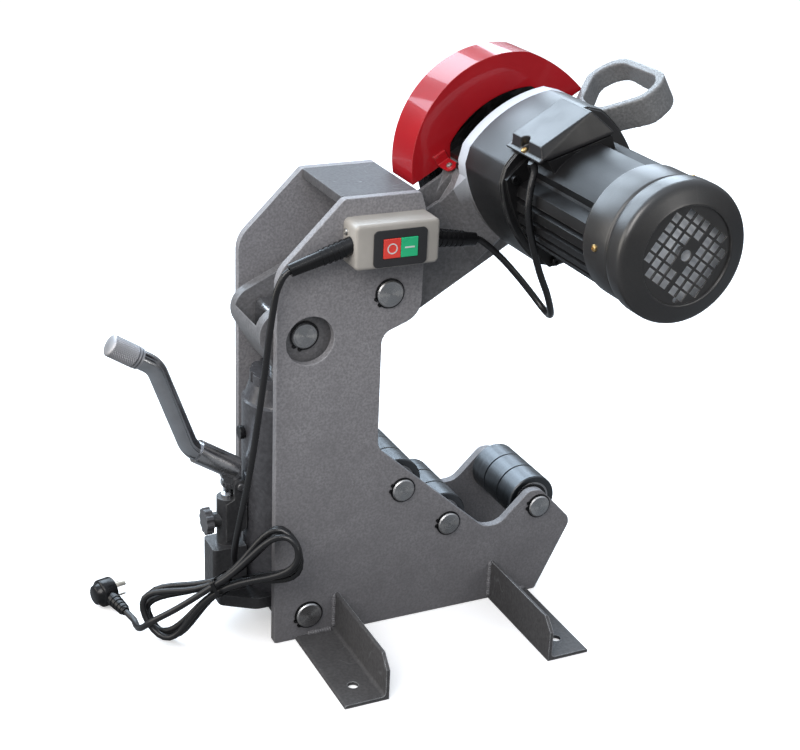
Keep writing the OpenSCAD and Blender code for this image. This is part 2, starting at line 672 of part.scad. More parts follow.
module terminal_cover() {
    lid_near = 54;
    lid_lap = 18;
    lid_left = -35;
    lid_right = 57;
    lid_top = 104;
    ledge_w = 10;
    ledge_z = 88.5;
    ledge_t = 3.5;
    pocket_r = 9;
    y0 = motor_y - lid_near;
    y1 = motor_y + lid_lap;
    low_right = 66;
    rim = 3;
    slope = 12;
    color("#17181a") on_head() {
        difference() {
            hull() {
                along_y(y0, y1) polygon([
                    [lid_left + 6.5, ledge_z - 2.1], [lid_right - 6, low_right + 0.4], [lid_right, low_right],
                    [lid_right, low_right + rim], [lid_left, ledge_z + ledge_t]]);
                along_y(y0 + 4, y1 - 2) polygon([
                    [lid_left + 5, lid_top - 2], [lid_right - slope, lid_top - 2],
                    [lid_right - slope - 1, lid_top], [lid_left + 6, lid_top]]);
            }
            translate([lid_left + 3, motor_y - 13, ledge_z + ledge_t]) cylinder(r = pocket_r, h = lid_top - ledge_z);
            along_y(motor_y - part_gap, flange_far) offset(delta = part_gap) head_2d(0);
        }
        along_y(y0, y1 + 6) polygon([
            [lid_left + 5 - ledge_w, ledge_z], [lid_left + 5, ledge_z],
            [lid_left + 5, ledge_z + ledge_t], [lid_left + 5 - ledge_w, ledge_z + ledge_t]]);
    }
}
module fan_cover() {
    t = 2.5;
    front_r = fin_r + fit + t;
    groove_y = cover_start - 45;
    rim_y = cover_end + 8;
    grille_r = 57;
    grid_turn = 23.5;
    dish = 3;
    color("#202226") on_head() {
        turned_y(0) polygon([
            [front_r - t, cover_start], [front_r, cover_start], [front_r, groove_y + 3], [front_r - 2, groove_y + 1],
            [front_r - 2, groove_y - 3], [cover_r, groove_y - 5], [cover_r, rim_y + 4], [cover_r - 2, rim_y],
            [grille_r, cover_end], [grille_r - t, cover_end], [grille_r - t, cover_end + dish + t],
            [grille_r, cover_end + dish + t], [grille_r, cover_end + t + 1], [cover_r - t - 3, rim_y + t],
            [cover_r - t, rim_y + 5], [cover_r - t, groove_y - 5 - t], [front_r - 2 - t, groove_y - 3],
            [front_r - 2 - t, groove_y + 1], [front_r - t, groove_y + 3]
        ] * [[1, 0], [0, -1]]);
        along_y(cover_end + dish, cover_end + dish + t) difference() {
            circle(grille_r - t / 2);
            rotate(-129.4) translate([grille_r - 7, 0]) circle(3);
            rotate(grid_turn) for (i = [-4:4], k = [-4:4])
                let (x = i * grille_pitch, z = (k + (k >= 0 ? 0.12 : -0.12)) * grille_pitch)
                if (norm([x, z]) < grille_r - 8 && norm([x, z]) > 14)
                    translate([x - grille_hole / 2, z - grille_hole / 2]) square(grille_hole);
        }
    }
}
module head_bearings() {
    w = 12;
    color("#9a9c9f") on_head() {
        for (y = [flange_near + 2, hub_y - 2 - w])
            bearing_ring(0, 0, spindle_r + fit, spindle_bearing_r, y, y + w);
        for (y = [motor_y - 12, motor_end + 1])
            bearing_ring(0, 0, shaft_r + fit, shaft_bearing_r, y, y + w - 1);
    }
}
module motor_rotor() {
    shaft_back = 22;
    shaft_run = 58;
    core_gap = 16;
    color("#8a8c90") on_head() {
        rod_y(0, 0, shaft_r, cover_end + shaft_back, housing_near + shaft_run);
        rod_y(0, 0, rotor_r, motor_end + core_gap, motor_y - core_gap);
    }
}
module cooling_fan() {
    blades = 8;
    hub = 17;
    fan_gap = 8;
    fan_len = 28;
    y1 = motor_end - fan_gap;
    y0 = y1 - fan_len;
    color("#9aa3ad") on_head() {
        bearing_ring(0, 0, shaft_r + fit / 2, hub, y0, y1);
        bearing_ring(0, 0, hub - 1, fin_r - 12, y1 - 3, y1);
        for (k = [0:blades - 1]) rotate([0, k * 360 / blades, 0])
            translate([hub - 1, y0, -1.5]) cube([fin_r - 13 - hub, y1 - y0 - 1, 3]);
    }
}

// Cutting spindle: shaft, collar, wheel and nut
module cutter_spindle() {
    collar_r = 34;
    color("#8a8c90") on_head() {
        rod_y(0, 0, spindle_r, flange_near - 28, collar_y);
        rod_y(0, 0, collar_r, collar_y, cutter_y);
        rod_y(0, 0, stub_r, cutter_y, cutter_y + cutter_t + 17);
    }
}
module cutter_wheel() {
    bevel = 14;
    color("#55585c") on_head() turned_y(0) polygon([
        [stub_r + fit, cutter_y], [cutter_r - bevel, cutter_y], [cutter_r, cutter_y + cutter_t / 2 - 0.5],
        [cutter_r, cutter_y + cutter_t / 2 + 0.5], [cutter_r - bevel, cutter_y + cutter_t],
        [stub_r + fit, cutter_y + cutter_t]
    ] * [[1, 0], [0, -1]]);
}
module cutter_nut() {
    across = 46;
    nut_h = 14;
    color("#6f7276") on_head()
        along_y(cutter_y + cutter_t, cutter_y + cutter_t + nut_h) difference() {
            circle(d = across / cos(30), $fn = 6);
            circle(stub_r + fit);
        }
}

// Bottle jack: base with pump barrel and fulcrum lugs, tank, cylinder, gland
module jack_base() {
    nose_reach = 98;
    shoulder_reach = 56;
    front_reach = 58;
    back = jack_x - nose_reach;
    shoulder = jack_x - shoulder_reach;
    front = jack_x + front_reach;
    nose_half = 26;
    color("#141517") difference() {
        union() {
            translate([0, 0, base_low]) linear_extrude(base_top - base_low)
                polygon(rounded([[back, -nose_half, 10], [shoulder, -base_half, 20], [front, -base_half, 12],
                                 [front, base_half, 12], [shoulder, base_half, 20], [back, nose_half, 10]]));
            along_y(-base_half, base_half)
                box_2d(base_pin_x - 34, base_lug_low, base_pin_x + 34, base_top - 4, 10);
            translate([0, 0, base_top]) linear_extrude(64)
                polygon(rounded([[pump_x - 26, -22, 6], [jack_x - tank_r - 4, -22, 0], [jack_x - tank_r - 4, 22, 0],
                                 [pump_x - 26, 22, 6]]));
            translate([pump_x, 0, base_top]) cylinder(r = pump_r, h = pump_top - base_top);
            translate([pump_x - pump_r - 8, 0, valve_z]) rotate([0, 90, 0]) cylinder(r = 10, h = 12);
            for (s = [-1, 1])
                along_y(s > 0 ? rocker_half + part_gap : -rocker_half - part_gap - lug_t,
                        s > 0 ? rocker_half + part_gap + lug_t : -rocker_half - part_gap)
                    polygon(rounded([[pump_x - 6, pump_top - 60, 0], [fulcrum_x + lug_r, pump_top - 44, 6],
                                     [fulcrum_x + lug_r, fulcrum_z + lug_r, lug_r],
                                     [fulcrum_x - lug_r, fulcrum_z + lug_r, lug_r], [fulcrum_x - lug_r, pump_top, 0],
                                     [pump_x - 6, pump_top - 6, 0]]));
        }
        rod_y(base_pin_x, base_pin_z, pivot_pin_r + fit, -base_half - eps, base_half + eps);
        translate([pump_x, 0, base_top + 40]) cylinder(r = plunger_r + fit, h = pump_top);
        rod_y(fulcrum_x, fulcrum_z, fulcrum_r + fit / 2, -40, 40);
        translate([pump_x - pump_r - 10, 0, valve_z]) rotate([0, 90, 0]) cylinder(r = 4 + fit, h = 12);
    }
}
module jack_tank() {
    wall = 5;
    color("#17181b") translate([jack_x, 0, 0]) difference() {
        rotate_extrude() polygon([
            [cylinder_r + fit, base_top], [tank_r, base_top], [tank_r, tank_top - 4], [tank_r - 4, tank_top],
            [gland_r, tank_top + cone_h], [cylinder_r + fit, tank_top + cone_h], [cylinder_r + fit, tank_top],
            [tank_r - wall - 4, tank_top - wall], [tank_r - wall, tank_top - 2 * wall], [tank_r - wall, base_top + wall],
            [cylinder_r + fit, base_top + wall]]);
        translate([-tank_r, 0, tank_top - 47]) rotate([0, 90, 0]) cylinder(r = 7 + fit, h = 14, center = true);
    }
}
module filler_plug() {
    color("#0f1011") translate([jack_x - tank_r, 0, tank_top - 47]) rotate([0, -90, 0]) {
        translate([0, 0, -5]) cylinder(r = 7, h = 8);
        translate([0, 0, 1.2]) cylinder(r = 9, h = 6);
    }
}
module jack_cylinder() {
    floor_t = 20;
    color("#8a8c90") translate([jack_x, 0, base_top]) difference() {
        cylinder(r = cylinder_r, h = tank_top + cone_h - base_top);
        translate([0, 0, floor_t]) cylinder(r = ram_r + fit, h = tank_top);
    }
}
module jack_gland_nut() {
    z0 = tank_top + cone_h;
    slots = 12;
    color("#1b1c1f") translate([jack_x, 0, z0]) difference() {
        cylinder(r = gland_r, h = gland_h);
        translate([0, 0, -eps]) cylinder(r = ram_r + fit, h = gland_h + 2 * eps);
        for (k = [0:slots - 1]) rotate(k * 360 / slots) translate([gland_r, 0, -eps])
            cylinder(r = 4, h = gland_h + 2 * eps);
    }
}
module jack_ram() {
    eye_half = 33;
    ram_foot = base_top + 24;
    eye_x = eye_pin_r + slot_x + eye_wall;
    eye_z = eye_pin_r + slot_z + eye_wall;
    color("#a7a9ac") difference() {
        union() {
            translate([jack_x, 0, ram_foot]) cylinder(r = ram_r, h = ram_pin_z - eye_z + 1 - ram_foot);
            along_y(-eye_half, eye_half) box_2d(jack_x - eye_x, ram_pin_z - eye_z, jack_x + eye_x, ram_pin_z + eye_z, 8);
        }
        along_y(-eye_half - eps, eye_half + eps)
            box_2d(jack_x - eye_pin_r - slot_x, ram_pin_z - eye_pin_r - slot_z,
                   jack_x + eye_pin_r + slot_x, ram_pin_z + eye_pin_r + slot_z, eye_pin_r);
    }
}
module fulcrum_pin() {
    half = rocker_half + part_gap + lug_t + 3;
    color("#8a8c90") rod_y(fulcrum_x, fulcrum_z, fulcrum_r, -half, half);
}
module pump_plunger() {
    play = 2;
    eye_x = pump_pin_r + play + 2.6;
    eye_z = pump_pin_r + 3;
    color("#a7a9ac") difference() {
        union() {
            translate([pump_x, 0, base_top + 70]) cylinder(r = plunger_r, h = pump_top + 4 - base_top - 70);
            along_y(-4, 4) {
                box_2d(pump_x - eye_x, pump_pin_z - eye_z, pump_x + eye_x, pump_pin_z + eye_z, 4);
                translate([pump_x - 4, pump_top]) square([8, pump_pin_z - pump_top - pump_pin_r - 1]);
            }
        }
        along_y(-5, 5) box_2d(pump_x - pump_pin_r - play, pump_pin_z - pump_pin_r - 0.4,
                              pump_x + pump_pin_r + play, pump_pin_z + pump_pin_r + 0.4, 2);
    }
}
module release_knob() {
    lobes = 10;
    x0 = pump_x - pump_r - 8 - part_gap;
    color("#18191b") {
        difference() {
            translate([x0 - knob_t, 0, valve_z]) rotate([0, 90, 0]) cylinder(r = knob_r, h = knob_t);
            for (k = [0:lobes - 1]) translate([x0 - knob_t - 1, 0, valve_z]) rotate([k * 360 / lobes, 0, 0])
                translate([0, 0, knob_r + 3]) rotate([0, 90, 0]) cylinder(r = 5, h = knob_t + 2);
        }
        translate([x0 - 1, 0, valve_z]) rotate([0, 90, 0]) cylinder(r = 4, h = 11);
    }
}

// Handle: rocker with socket, bent tube, knurled grip
module at_socket() {
    translate([fulcrum_x, 0, fulcrum_z]) rotate([0, -handle_tilt, 0]) mirror([0, 0, 1]) children();
}
module handle_rocker() {
    eye_cut_r = 10.5;
    color("#3b3d40") {
        difference() {
            at_socket() {
                translate([socket_from, 0, socket_rise]) rotate([0, 90, 0]) cylinder(r = socket_r, h = socket_len);
                along_y(-rocker_half, rocker_half) {
                    circle(lug_r);
                    polygon(rounded([[0, -lug_r, 0], [13.5, -11.5, 4], [18.5, -6, 4], [34, 4, 0], [34, socket_rise, 0],
                                     [socket_from, socket_rise, 0], [-lug_r * 0.9, lug_r * 0.4, 0]]));
                }
            }
            at_socket() translate([socket_from - 1, 0, socket_rise]) rotate([0, 90, 0])
                cylinder(r = handle_r + fit, h = socket_len + 2);
            rod_y(fulcrum_x, fulcrum_z, fulcrum_r + fit, -40, 40);
            along_y(-4 - part_gap, 4 + part_gap) {
                translate([pump_pin_x, pump_pin_z]) circle(eye_cut_r);
                polygon([[pump_pin_x - eye_cut_r, pump_pin_z], [pump_pin_x + eye_cut_r * 0.8, pump_pin_z],
                         [pump_pin_x + eye_cut_r * 0.8, pump_pin_z - 40], [pump_pin_x - 40, pump_pin_z - 40],
                         [pump_pin_x - 40, pump_pin_z - 10]]);
            }
        }
        rod_y(pump_pin_x, pump_pin_z, pump_pin_r, -rocker_half + 1, rocker_half - 1);
    }
}
handle_bends = [[socket_from + 10, 0], [85, 0], [185, 76], [208, 76]];   // along and off the socket
handle_bend_r = 34;
function open_rounded(p, r, n) = concat([p[0]],
    [for (i = [1:len(p) - 2]) each corner_arc(p[i - 1], p[i], p[i + 1], r, n)], [p[len(p) - 1]]);
module pump_handle() {
    path = open_rounded(handle_bends, handle_bend_r, 8);
    color("#b9bcc0") at_socket() translate([0, 0, socket_rise])
        tube([for (p = path) [p.x, 0, p.y]], handle_r, 24);
}
module handle_grip() {
    grip_len = 44;
    grip_r = handle_r + 2;
    tip = handle_bends[len(handle_bends) - 1];
    color("#8f9296") at_socket() translate([tip.x, 0, socket_rise + tip.y]) rotate([0, 90, 0])
        rotate_extrude() polygon([[0, 0], [grip_r - 1, 0], [grip_r, 2], [grip_r, grip_len - 10],
                                  [grip_r - 6, grip_len - 2], [grip_r - 11, grip_len], [0, grip_len]]);
}

// Switch box on the near plate
module switch_box() {
    color("#969189") difference() {
        along_y(box_y - box_d, box_y) box_2d(box_x, box_z, box_x + box_l, box_z + box_h, 6);
        along_y(box_y - box_d + box_wall, box_y + eps)
            box_2d(box_x + box_wall, box_z + box_wall, box_x + box_l - box_wall, box_z + box_h - box_wall, 4);
        along_y(box_y - box_d - eps, box_y - box_d + box_wall + eps)
            box_2d(bezel_x - bezel_l / 2 + 4, bezel_z - bezel_h / 2 + 4, bezel_x + bezel_l / 2 - 4, bezel_z + bezel_h / 2 - 4, 3);
    }
}
module switch_bezel() {
    face = box_y - box_d;
    color("#151515") difference() {
        along_y(face - 2, face) box_2d(bezel_x - bezel_l / 2, bezel_z - bezel_h / 2,
                                       bezel_x + bezel_l / 2, bezel_z + bezel_h / 2, 6);
        along_y(face - 3, face + eps) box_2d(bezel_x - button_l - part_gap, bezel_z - button_h / 2 - part_gap,
                                            bezel_x + button_l + part_gap, bezel_z + button_h / 2 + part_gap, 1);
    }
}
module button(side) {
    face = box_y - box_d;
    x0 = side < 0 ? bezel_x - button_l : bezel_x + part_gap / 2;
    x1 = side < 0 ? bezel_x - part_gap / 2 : bezel_x + button_l;
    along_y(face - button_out, face + 8) box_2d(x0, bezel_z - button_h / 2, x1, bezel_z + button_h / 2, 1);
}
module stop_button() { color("#d2362c") button(-1); }
module start_button() { color("#1f8f4e") button(1); }
module switch_contact_block() {
    face = box_y - box_d;
    color("#2a2a2a") along_y(face + 8 + button_travel + part_gap, box_y)
        box_2d(bezel_x - button_l - 2, bezel_z - button_h / 2 - 2, bezel_x + button_l + 2, bezel_z + button_h / 2 + 2, 2);
}

// Ribbed, tapered strain reliefs and the cords
module aimed(a, b) {
    d = unit(b - a);
    translate(a) rotate([0, acos(d.z), atan2(d.y, d.x)]) children();
}
module strain_relief(a, b, root_r, tip_r) {
    l = norm(b - a);
    ribs = 5;
    aimed(a, b) difference() {
        union() {
            cylinder(r1 = root_r, r2 = tip_r, h = l);
            for (k = [0:ribs - 1]) translate([0, 0, 10 + k * 7])
                cylinder(r = root_r + (tip_r - root_r) * (10 + k * 7) / l + 0.8, h = 3.2);
        }
        translate([0, 0, l - 6]) cylinder(r = cord_r + fit, h = 7);
    }
}
module mains_strain_relief() {
    color("#1c1e22") difference() {
        strain_relief(mains_exit + [3, 0, 1], mains_relief_end, 11, 8);
        translate([box_x, -200, 400]) cube([50, 200, 300]);
    }
}
module motor_strain_relief() {
    color("#1c1e22") difference() {
        strain_relief(motor_exit - [3, 0, -0.4], motor_relief_end, 11, 8);
        translate([box_x + box_l - 50, -200, 400]) cube([50, 200, 300]);
    }
}
function hank_point(a) =
    let (turn = (a - 90) / 360, t = turn / hank_loops - 0.5,
         half = hank_half * (1 + 0.06 * sin(400 * turn)), lobe = hank_lobe * (1 + 0.22 * sin(250 * turn + 40)))
    hank_c + half * cos(a) * hank_u + hank_step * hank_loops * t * hank_w
    + lobe * sin(a) * (hank_waist + (1 - hank_waist) * cos(a) * cos(a)) * hank_v;
hank_path = [for (k = [0:hank_loops * rings_per_loop]) hank_point(90 + 360 * k / rings_per_loop)];
hank_start = hank_path[0];
hank_end = hank_path[len(hank_path) - 1];
hank_gap = min([for (i = [0:len(hank_path) - 1], k = [i + 6:1:len(hank_path) - 1])
    norm(hank_path[i] - hank_path[k])]) - cord_d;
echo(hank_gap = hank_gap, hank_low = min([for (q = hank_path) q.z]) - cord_r);
function path_len(p) = len(p) < 2 ? 0 : [for (i = [1:len(p) - 1]) norm(p[i] - p[i - 1])] * [for (i = [1:len(p) - 1]) 1];
run_full = concat(run_route, [hank_start + cord_d * unit(hank_start - hank_path[1]), hank_start]);
tail_full = concat([hank_end, hank_end + cord_d * unit(hank_end - hank_path[len(hank_path) - 2])], tail_route);
echo(cord_length = path_len(spline(run_full, 5)) + path_len(hank_path) + path_len(spline(tail_full, 5)));
module mains_cord_run() { color("#202225") tube(spline(run_full, 5), cord_r, 10); }
module mains_cord_hank() { color("#202225") tube(hank_path, cord_r, 6); }
module mains_cord_tail() { color("#202225") tube(spline(tail_full, 5), cord_r, 10); }
module motor_lead() { color("#202225") tube(spline(lead_route, 5), cord_r, 10); }
module cord_tie() {
    band_t = 1.2;
    half_v = hank_lobe * 1.22 * hank_waist + cord_r + 0.3;
    half_w = hank_step * hank_loops / 2 + cord_r + 0.3;
    color("#101010") multmatrix([
        [hank_v.x, hank_w.x, hank_u.x, hank_c.x],
        [hank_v.y, hank_w.y, hank_u.y, hank_c.y],
        [hank_v.z, hank_w.z, hank_u.z, hank_c.z],
        [0, 0, 0, 1]]) translate([0, 0, -2.5]) linear_extrude(5) difference() {
            box_2d(-half_v - band_t, -half_w - band_t, half_v + band_t, half_w + band_t, 5);
            box_2d(-half_v, -half_w, half_v, half_w, 4);
        }
}

// Plug: side-entry body standing on its edge, ribbed boot, three flat pins
module mains_plug() {
    boot = 36;
    body_r = 19;
    body_t = 20;
    pin_ring = 10;
    plug_at = tail_route[len(tail_route) - 1] + seat_gap * unit(plug_dir);
    color("#1a1c1f") aimed(plug_at, plug_at + plug_dir) {
        cylinder(r1 = 6.5, r2 = 9, h = boot + 2);
        for (k = [0:3]) translate([0, 0, 6 + k * 7]) cylinder(r = 8 + k * 0.5, h = 3.2);
        translate([0, 0, boot + body_r - 2]) rotate([90, 0, 0]) {
            cylinder(r = body_r, h = body_t, center = true);
            translate([0, 0, -body_t / 2 - 8]) cylinder(r1 = body_r - 6, r2 = body_r - 3, h = 8.5);
            for (k = [0:2]) rotate(90 + 120 * k) translate([pin_ring, 0, body_t / 2 - 1])
                linear_extrude(18) square(k == 0 ? [6.4, 1.7] : [1.7, 6.4], center = true);
        }
    }
}

near_side_plate();
far_side_plate();
top_tie_plate();
foot_rear_near();
foot_rear_far();
foot_front_near();
foot_front_far();
arm_pivot_pin();
rear_roller_pin();
middle_roller_pin();
front_roller_pin();
jack_base_pin();
pin_circlips();
rear_roller();
middle_roller();
front_roller();
rear_roller_bearings();
middle_roller_bearings();
front_roller_bearings();
swing_arm();
pivot_bushes();
lift_handle();
ram_pin();
ram_pin_circlips();
cutter_guard();
gear_housing();
motor_frame();
fan_cover();
terminal_cover();
head_bearings();
motor_rotor();
cooling_fan();
cutter_spindle();
cutter_wheel();
cutter_nut();
jack_base();
jack_tank();
jack_cylinder();
jack_gland_nut();
filler_plug();
fulcrum_pin();
jack_ram();
pump_plunger();
release_knob();
handle_rocker();
pump_handle();
handle_grip();
switch_box();
switch_bezel();
switch_contact_block();
stop_button();
start_button();
mains_strain_relief();
motor_strain_relief();
motor_lead();
mains_cord_run();
mains_cord_hank();
cord_tie();
mains_cord_tail();
mains_plug();
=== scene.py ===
# %% [markdown]
# # Electric pipe cutter
# A floor-standing workshop machine. A hydraulic bottle jack swings a motor-driven cutting wheel
# down on a pipe that turns on three rollers between two steel side plates. The construction comes
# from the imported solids, which stay where they are. This lesson gives them their finishes, rounds
# their edges, lays the cords, and adds the small things that a drawing leaves out.

# %% Load the frame
import json
import math

import bmesh
import bpy
from mathutils import Matrix, Vector


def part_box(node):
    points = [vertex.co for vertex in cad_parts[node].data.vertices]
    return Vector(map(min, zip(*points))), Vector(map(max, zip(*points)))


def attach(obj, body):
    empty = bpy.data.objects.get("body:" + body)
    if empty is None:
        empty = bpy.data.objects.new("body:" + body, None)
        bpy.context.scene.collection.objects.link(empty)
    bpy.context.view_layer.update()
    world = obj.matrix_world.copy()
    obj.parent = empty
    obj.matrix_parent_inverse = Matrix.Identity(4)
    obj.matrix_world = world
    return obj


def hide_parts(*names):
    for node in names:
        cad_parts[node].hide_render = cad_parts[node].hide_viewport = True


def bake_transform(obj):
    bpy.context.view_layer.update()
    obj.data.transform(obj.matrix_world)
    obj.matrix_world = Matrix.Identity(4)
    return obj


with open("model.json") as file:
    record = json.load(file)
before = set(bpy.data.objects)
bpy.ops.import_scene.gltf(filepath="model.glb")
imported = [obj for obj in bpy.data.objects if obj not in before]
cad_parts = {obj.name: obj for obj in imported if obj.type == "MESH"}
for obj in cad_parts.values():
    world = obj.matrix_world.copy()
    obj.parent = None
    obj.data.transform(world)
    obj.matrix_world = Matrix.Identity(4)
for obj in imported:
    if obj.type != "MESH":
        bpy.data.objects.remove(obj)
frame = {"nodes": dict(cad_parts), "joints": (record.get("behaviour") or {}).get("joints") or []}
cad = frame["nodes"]
joint = {j["name"]: j for j in frame["joints"]}
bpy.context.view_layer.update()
scene = bpy.context.scene

# %% [markdown]
# ## Camera
# The photograph was taken from the motor's side, a little above the head, with a short telephoto
# lens. A camera is a place, a direction and a lens: the direction is written as three angles,
# because those can be read off and nudged one at a time.

# %% Camera
CAMERA_AT = Vector((-0.8308, -1.7148, 1.1500))
CAMERA_HEADING = math.radians(25.83)    # turned from +Y towards +X
CAMERA_DIP = math.radians(23.41)        # looking down
CAMERA_ROLL = math.radians(2.47)        # the right side held a little high
CAMERA_LENS_MM, SENSOR_MM = 70.6, 36

ahead = Vector((math.sin(CAMERA_HEADING) * math.cos(CAMERA_DIP),
                math.cos(CAMERA_HEADING) * math.cos(CAMERA_DIP), -math.sin(CAMERA_DIP)))
level = Vector((math.cos(CAMERA_HEADING), -math.sin(CAMERA_HEADING), 0))
right = level * math.cos(CAMERA_ROLL) + level.cross(ahead) * math.sin(CAMERA_ROLL)
camera = bpy.data.objects.new("camera", bpy.data.cameras.new("camera"))
camera.data.lens = CAMERA_LENS_MM
camera.data.sensor_width = SENSOR_MM
camera.matrix_world = Matrix((right, right.cross(ahead), -ahead)).transposed().to_4x4()
camera.matrix_world.translation = CAMERA_AT
scene.collection.objects.link(camera)
scene.camera = camera
print(f"camera {CAMERA_AT.length:.2f} m from the origin, lens {CAMERA_LENS_MM} mm")

# %% [markdown]
# ## Places on the machine
# The cutting head leans back with the arm, so its fittings are placed in the arm's own directions:
# along it, across the machine, and square to it. The spindle is read from its joint, and only the
# lean of the raised arm is a number here.

# %% Places on the machine
MM = 0.001
ARM_LEAN = math.radians(30.6)
ACROSS = Vector((0, 1, 0))
ALONG_ARM = Vector((math.cos(ARM_LEAN), 0, math.sin(ARM_LEAN)))
OVER_ARM = Vector((-math.sin(ARM_LEAN), 0, math.cos(ARM_LEAN)))
SPINDLE = Vector(joint["cutter_spin"]["pos_m"])
HEAD_AXES = Matrix((ALONG_ARM, ACROSS, OVER_ARM)).transposed().to_4x4()


def mm(x, y, z):
    """A point of the machine's frame, given in millimetres."""
    return Vector((x, y, z)) * MM


def on_head(x, y, z):
    """A point of the head in millimetres from the spindle: along the arm, across, and over it."""
    return SPINDLE + (ALONG_ARM * x + ACROSS * y + OVER_ARM * z) * MM


print("spindle at", [round(v, 4) for v in SPINDLE])

# %% [markdown]
# ## Curves through points
# Both cords are drawn through listed points. A Catmull-Rom curve passes through every one
# of them, so moving a point moves the cord exactly there, and no handle has to be tuned.

# %% Curves through points
CURVE_STEPS = 8


def smooth_path(points):
    """A smooth curve through the points, in even steps between each two."""
    path = []
    for i in range(len(points) - 1):
        a, b, c = points[max(i - 1, 0)], points[i], points[i + 1]
        d = points[min(i + 2, len(points) - 1)]
        for k in range(CURVE_STEPS):
            t = k / CURVE_STEPS
            path.append((b * 2 + (c - a) * t + (a * 2 - b * 5 + c * 4 - d) * t ** 2
                         + (b * 3 - a - c * 3 + d) * t ** 3) / 2)
    return path + [points[-1]]


def path_length(path):
    """How long a path of points is, in metres."""
    return sum((b - a).length for a, b in zip(path, path[1:]))


def put_in_scene(name, shape):
    """A piece from a mesh or a curve."""
    piece = bpy.data.objects.new(name, shape)
    scene.collection.objects.link(piece)
    return piece


straight = smooth_path([mm(0, 0, 0), mm(500, 0, 0), mm(1000, 0, 0)])
print("a straight test path measures", path_length(straight))

# %% [markdown]
# ## Mains cord
# A black rubber cord of 8.5 mm leaves the switch box, hangs down behind the near plate, and is
# gathered into a hank of four loops with a tie round its waist. Its last stretch ends in a plug.
# The loops follow one formula: a figure of eight that is drawn in at the tie, steps sideways by a
# little more than a cord's width with each turn, and varies in size as loops wound by hand do.

# %% Mains cord
CORD_WIDTH = 8.5 * MM
RELIEF_END = mm(-194, -90, 524)
RUN_POINTS = [
    RELIEF_END, mm(-202, -90, 517), mm(-210, -90, 500), mm(-214, -90, 480), mm(-219, -90, 445),
    mm(-225, -89, 390), mm(-233, -87, 325), mm(-240, -84, 270), mm(-246, -80, 228), mm(-250, -72, 191),
    mm(-252, -64, 161), mm(-252, -56, 134), mm(-248, -48, 115)]
TAIL_POINTS = [
    mm(-327, -49, 67), mm(-355, -33, 45), mm(-365, -14, 26), mm(-364, 10, 14), mm(-363, 27, 13),
    mm(-365.5, 38.4, 14.1), mm(-368, 48, 15)]
HANK_TIE = mm(-270, -61, 97.5)
HANK_LENGTHWISE = Vector((0.669, -0.4545, 0.5845)).normalized()
HANK_SIDEWAYS = Vector((-0.667, -0.714, 0.211))
HANK_SIDEWAYS = (HANK_SIDEWAYS - HANK_SIDEWAYS.project(HANK_LENGTHWISE)).normalized()
HANK_WIDTHWISE = HANK_SIDEWAYS.cross(HANK_LENGTHWISE)
HANK_LOOPS = 4
HANK_HALF, HANK_LOBE, HANK_WAIST, HANK_STEP = 120 * MM, 68 * MM, 0.08, 9.4 * MM
HALF_VARIES, HALF_CYCLE = 0.06, math.radians(400)       # share of the size, angle for each turn
LOBE_VARIES, LOBE_CYCLE, LOBE_START = 0.22, math.radians(250), math.radians(40)
STEPS_PER_LOOP = 48


def hank_point(turn):
    """The hank's centreline after so many turns."""
    angle = math.tau * (turn + 0.25)
    half = HANK_HALF * (1 + HALF_VARIES * math.sin(HALF_CYCLE * turn))
    lobe = HANK_LOBE * (1 + LOBE_VARIES * math.sin(LOBE_CYCLE * turn + LOBE_START))
    pinch = HANK_WAIST + (1 - HANK_WAIST) * math.cos(angle) ** 2
    return (HANK_TIE + HANK_LENGTHWISE * half * math.cos(angle)
            + HANK_SIDEWAYS * HANK_STEP * (turn - HANK_LOOPS / 2)
            + HANK_WIDTHWISE * lobe * math.sin(angle) * pinch)


hank = [hank_point(k / STEPS_PER_LOOP) for k in range(HANK_LOOPS * STEPS_PER_LOOP + 1)]
lead_in = hank[0] + (hank[0] - hank[2]).normalized() * CORD_WIDTH
lead_out = hank[-1] + (hank[-1] - hank[-3]).normalized() * CORD_WIDTH
mains_path = (smooth_path(RUN_POINTS + [lead_in, hank[0]])[:-1] + hank
              + smooth_path([hank[-1], lead_out] + TAIL_POINTS)[1:])
line = bpy.data.curves.new("mains_cord", "CURVE")
line.dimensions = "3D"
line.bevel_depth, line.bevel_resolution = 1, 5
line.use_fill_caps = True
spline = line.splines.new("POLY")
spline.points.add(len(mains_path) - 1)
for point, place in zip(spline.points, mains_path):
    point.co, point.radius = (*place, 1), CORD_WIDTH / 2
spline.use_smooth = True
mains_cord = put_in_scene("mains_cord", line)
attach(mains_cord, "frame")
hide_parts("mains_cord_run", "mains_cord_hank", "mains_cord_tail")
print(f"mains cord {path_length(mains_path):.3f} m in {len(mains_path)} points")

# %% [markdown]
# ## Tubes and turned shapes
# Most small fittings are a section carried along a path, a profile turned about an axis, or a plain
# block. A function makes each, with faces in clean rings, and one more closes the mesh: it shades
# round faces smoothly and keeps real corners sharp.

# %% Tubes and turned shapes
CORNER = math.radians(38)
TUBE_SIDE = Vector((0.31, 0.62, 0.72))      # where a tube's first point lies; no path runs that way


def finished(name, bm):
    """A piece from a bmesh, with smooth faces and sharp corners."""
    bmesh.ops.recalc_face_normals(bm, faces=bm.faces)
    mesh = bpy.data.meshes.new(name)
    bm.to_mesh(mesh)
    bm.free()
    mesh.shade_smooth()
    mesh.set_sharp_from_angle(angle=CORNER)
    return put_in_scene(name, mesh)


def frame_for(axis):
    """A rotation that carries Z to the axis."""
    return Vector((0, 0, 1)).rotation_difference(Vector(axis)).to_matrix().to_4x4()


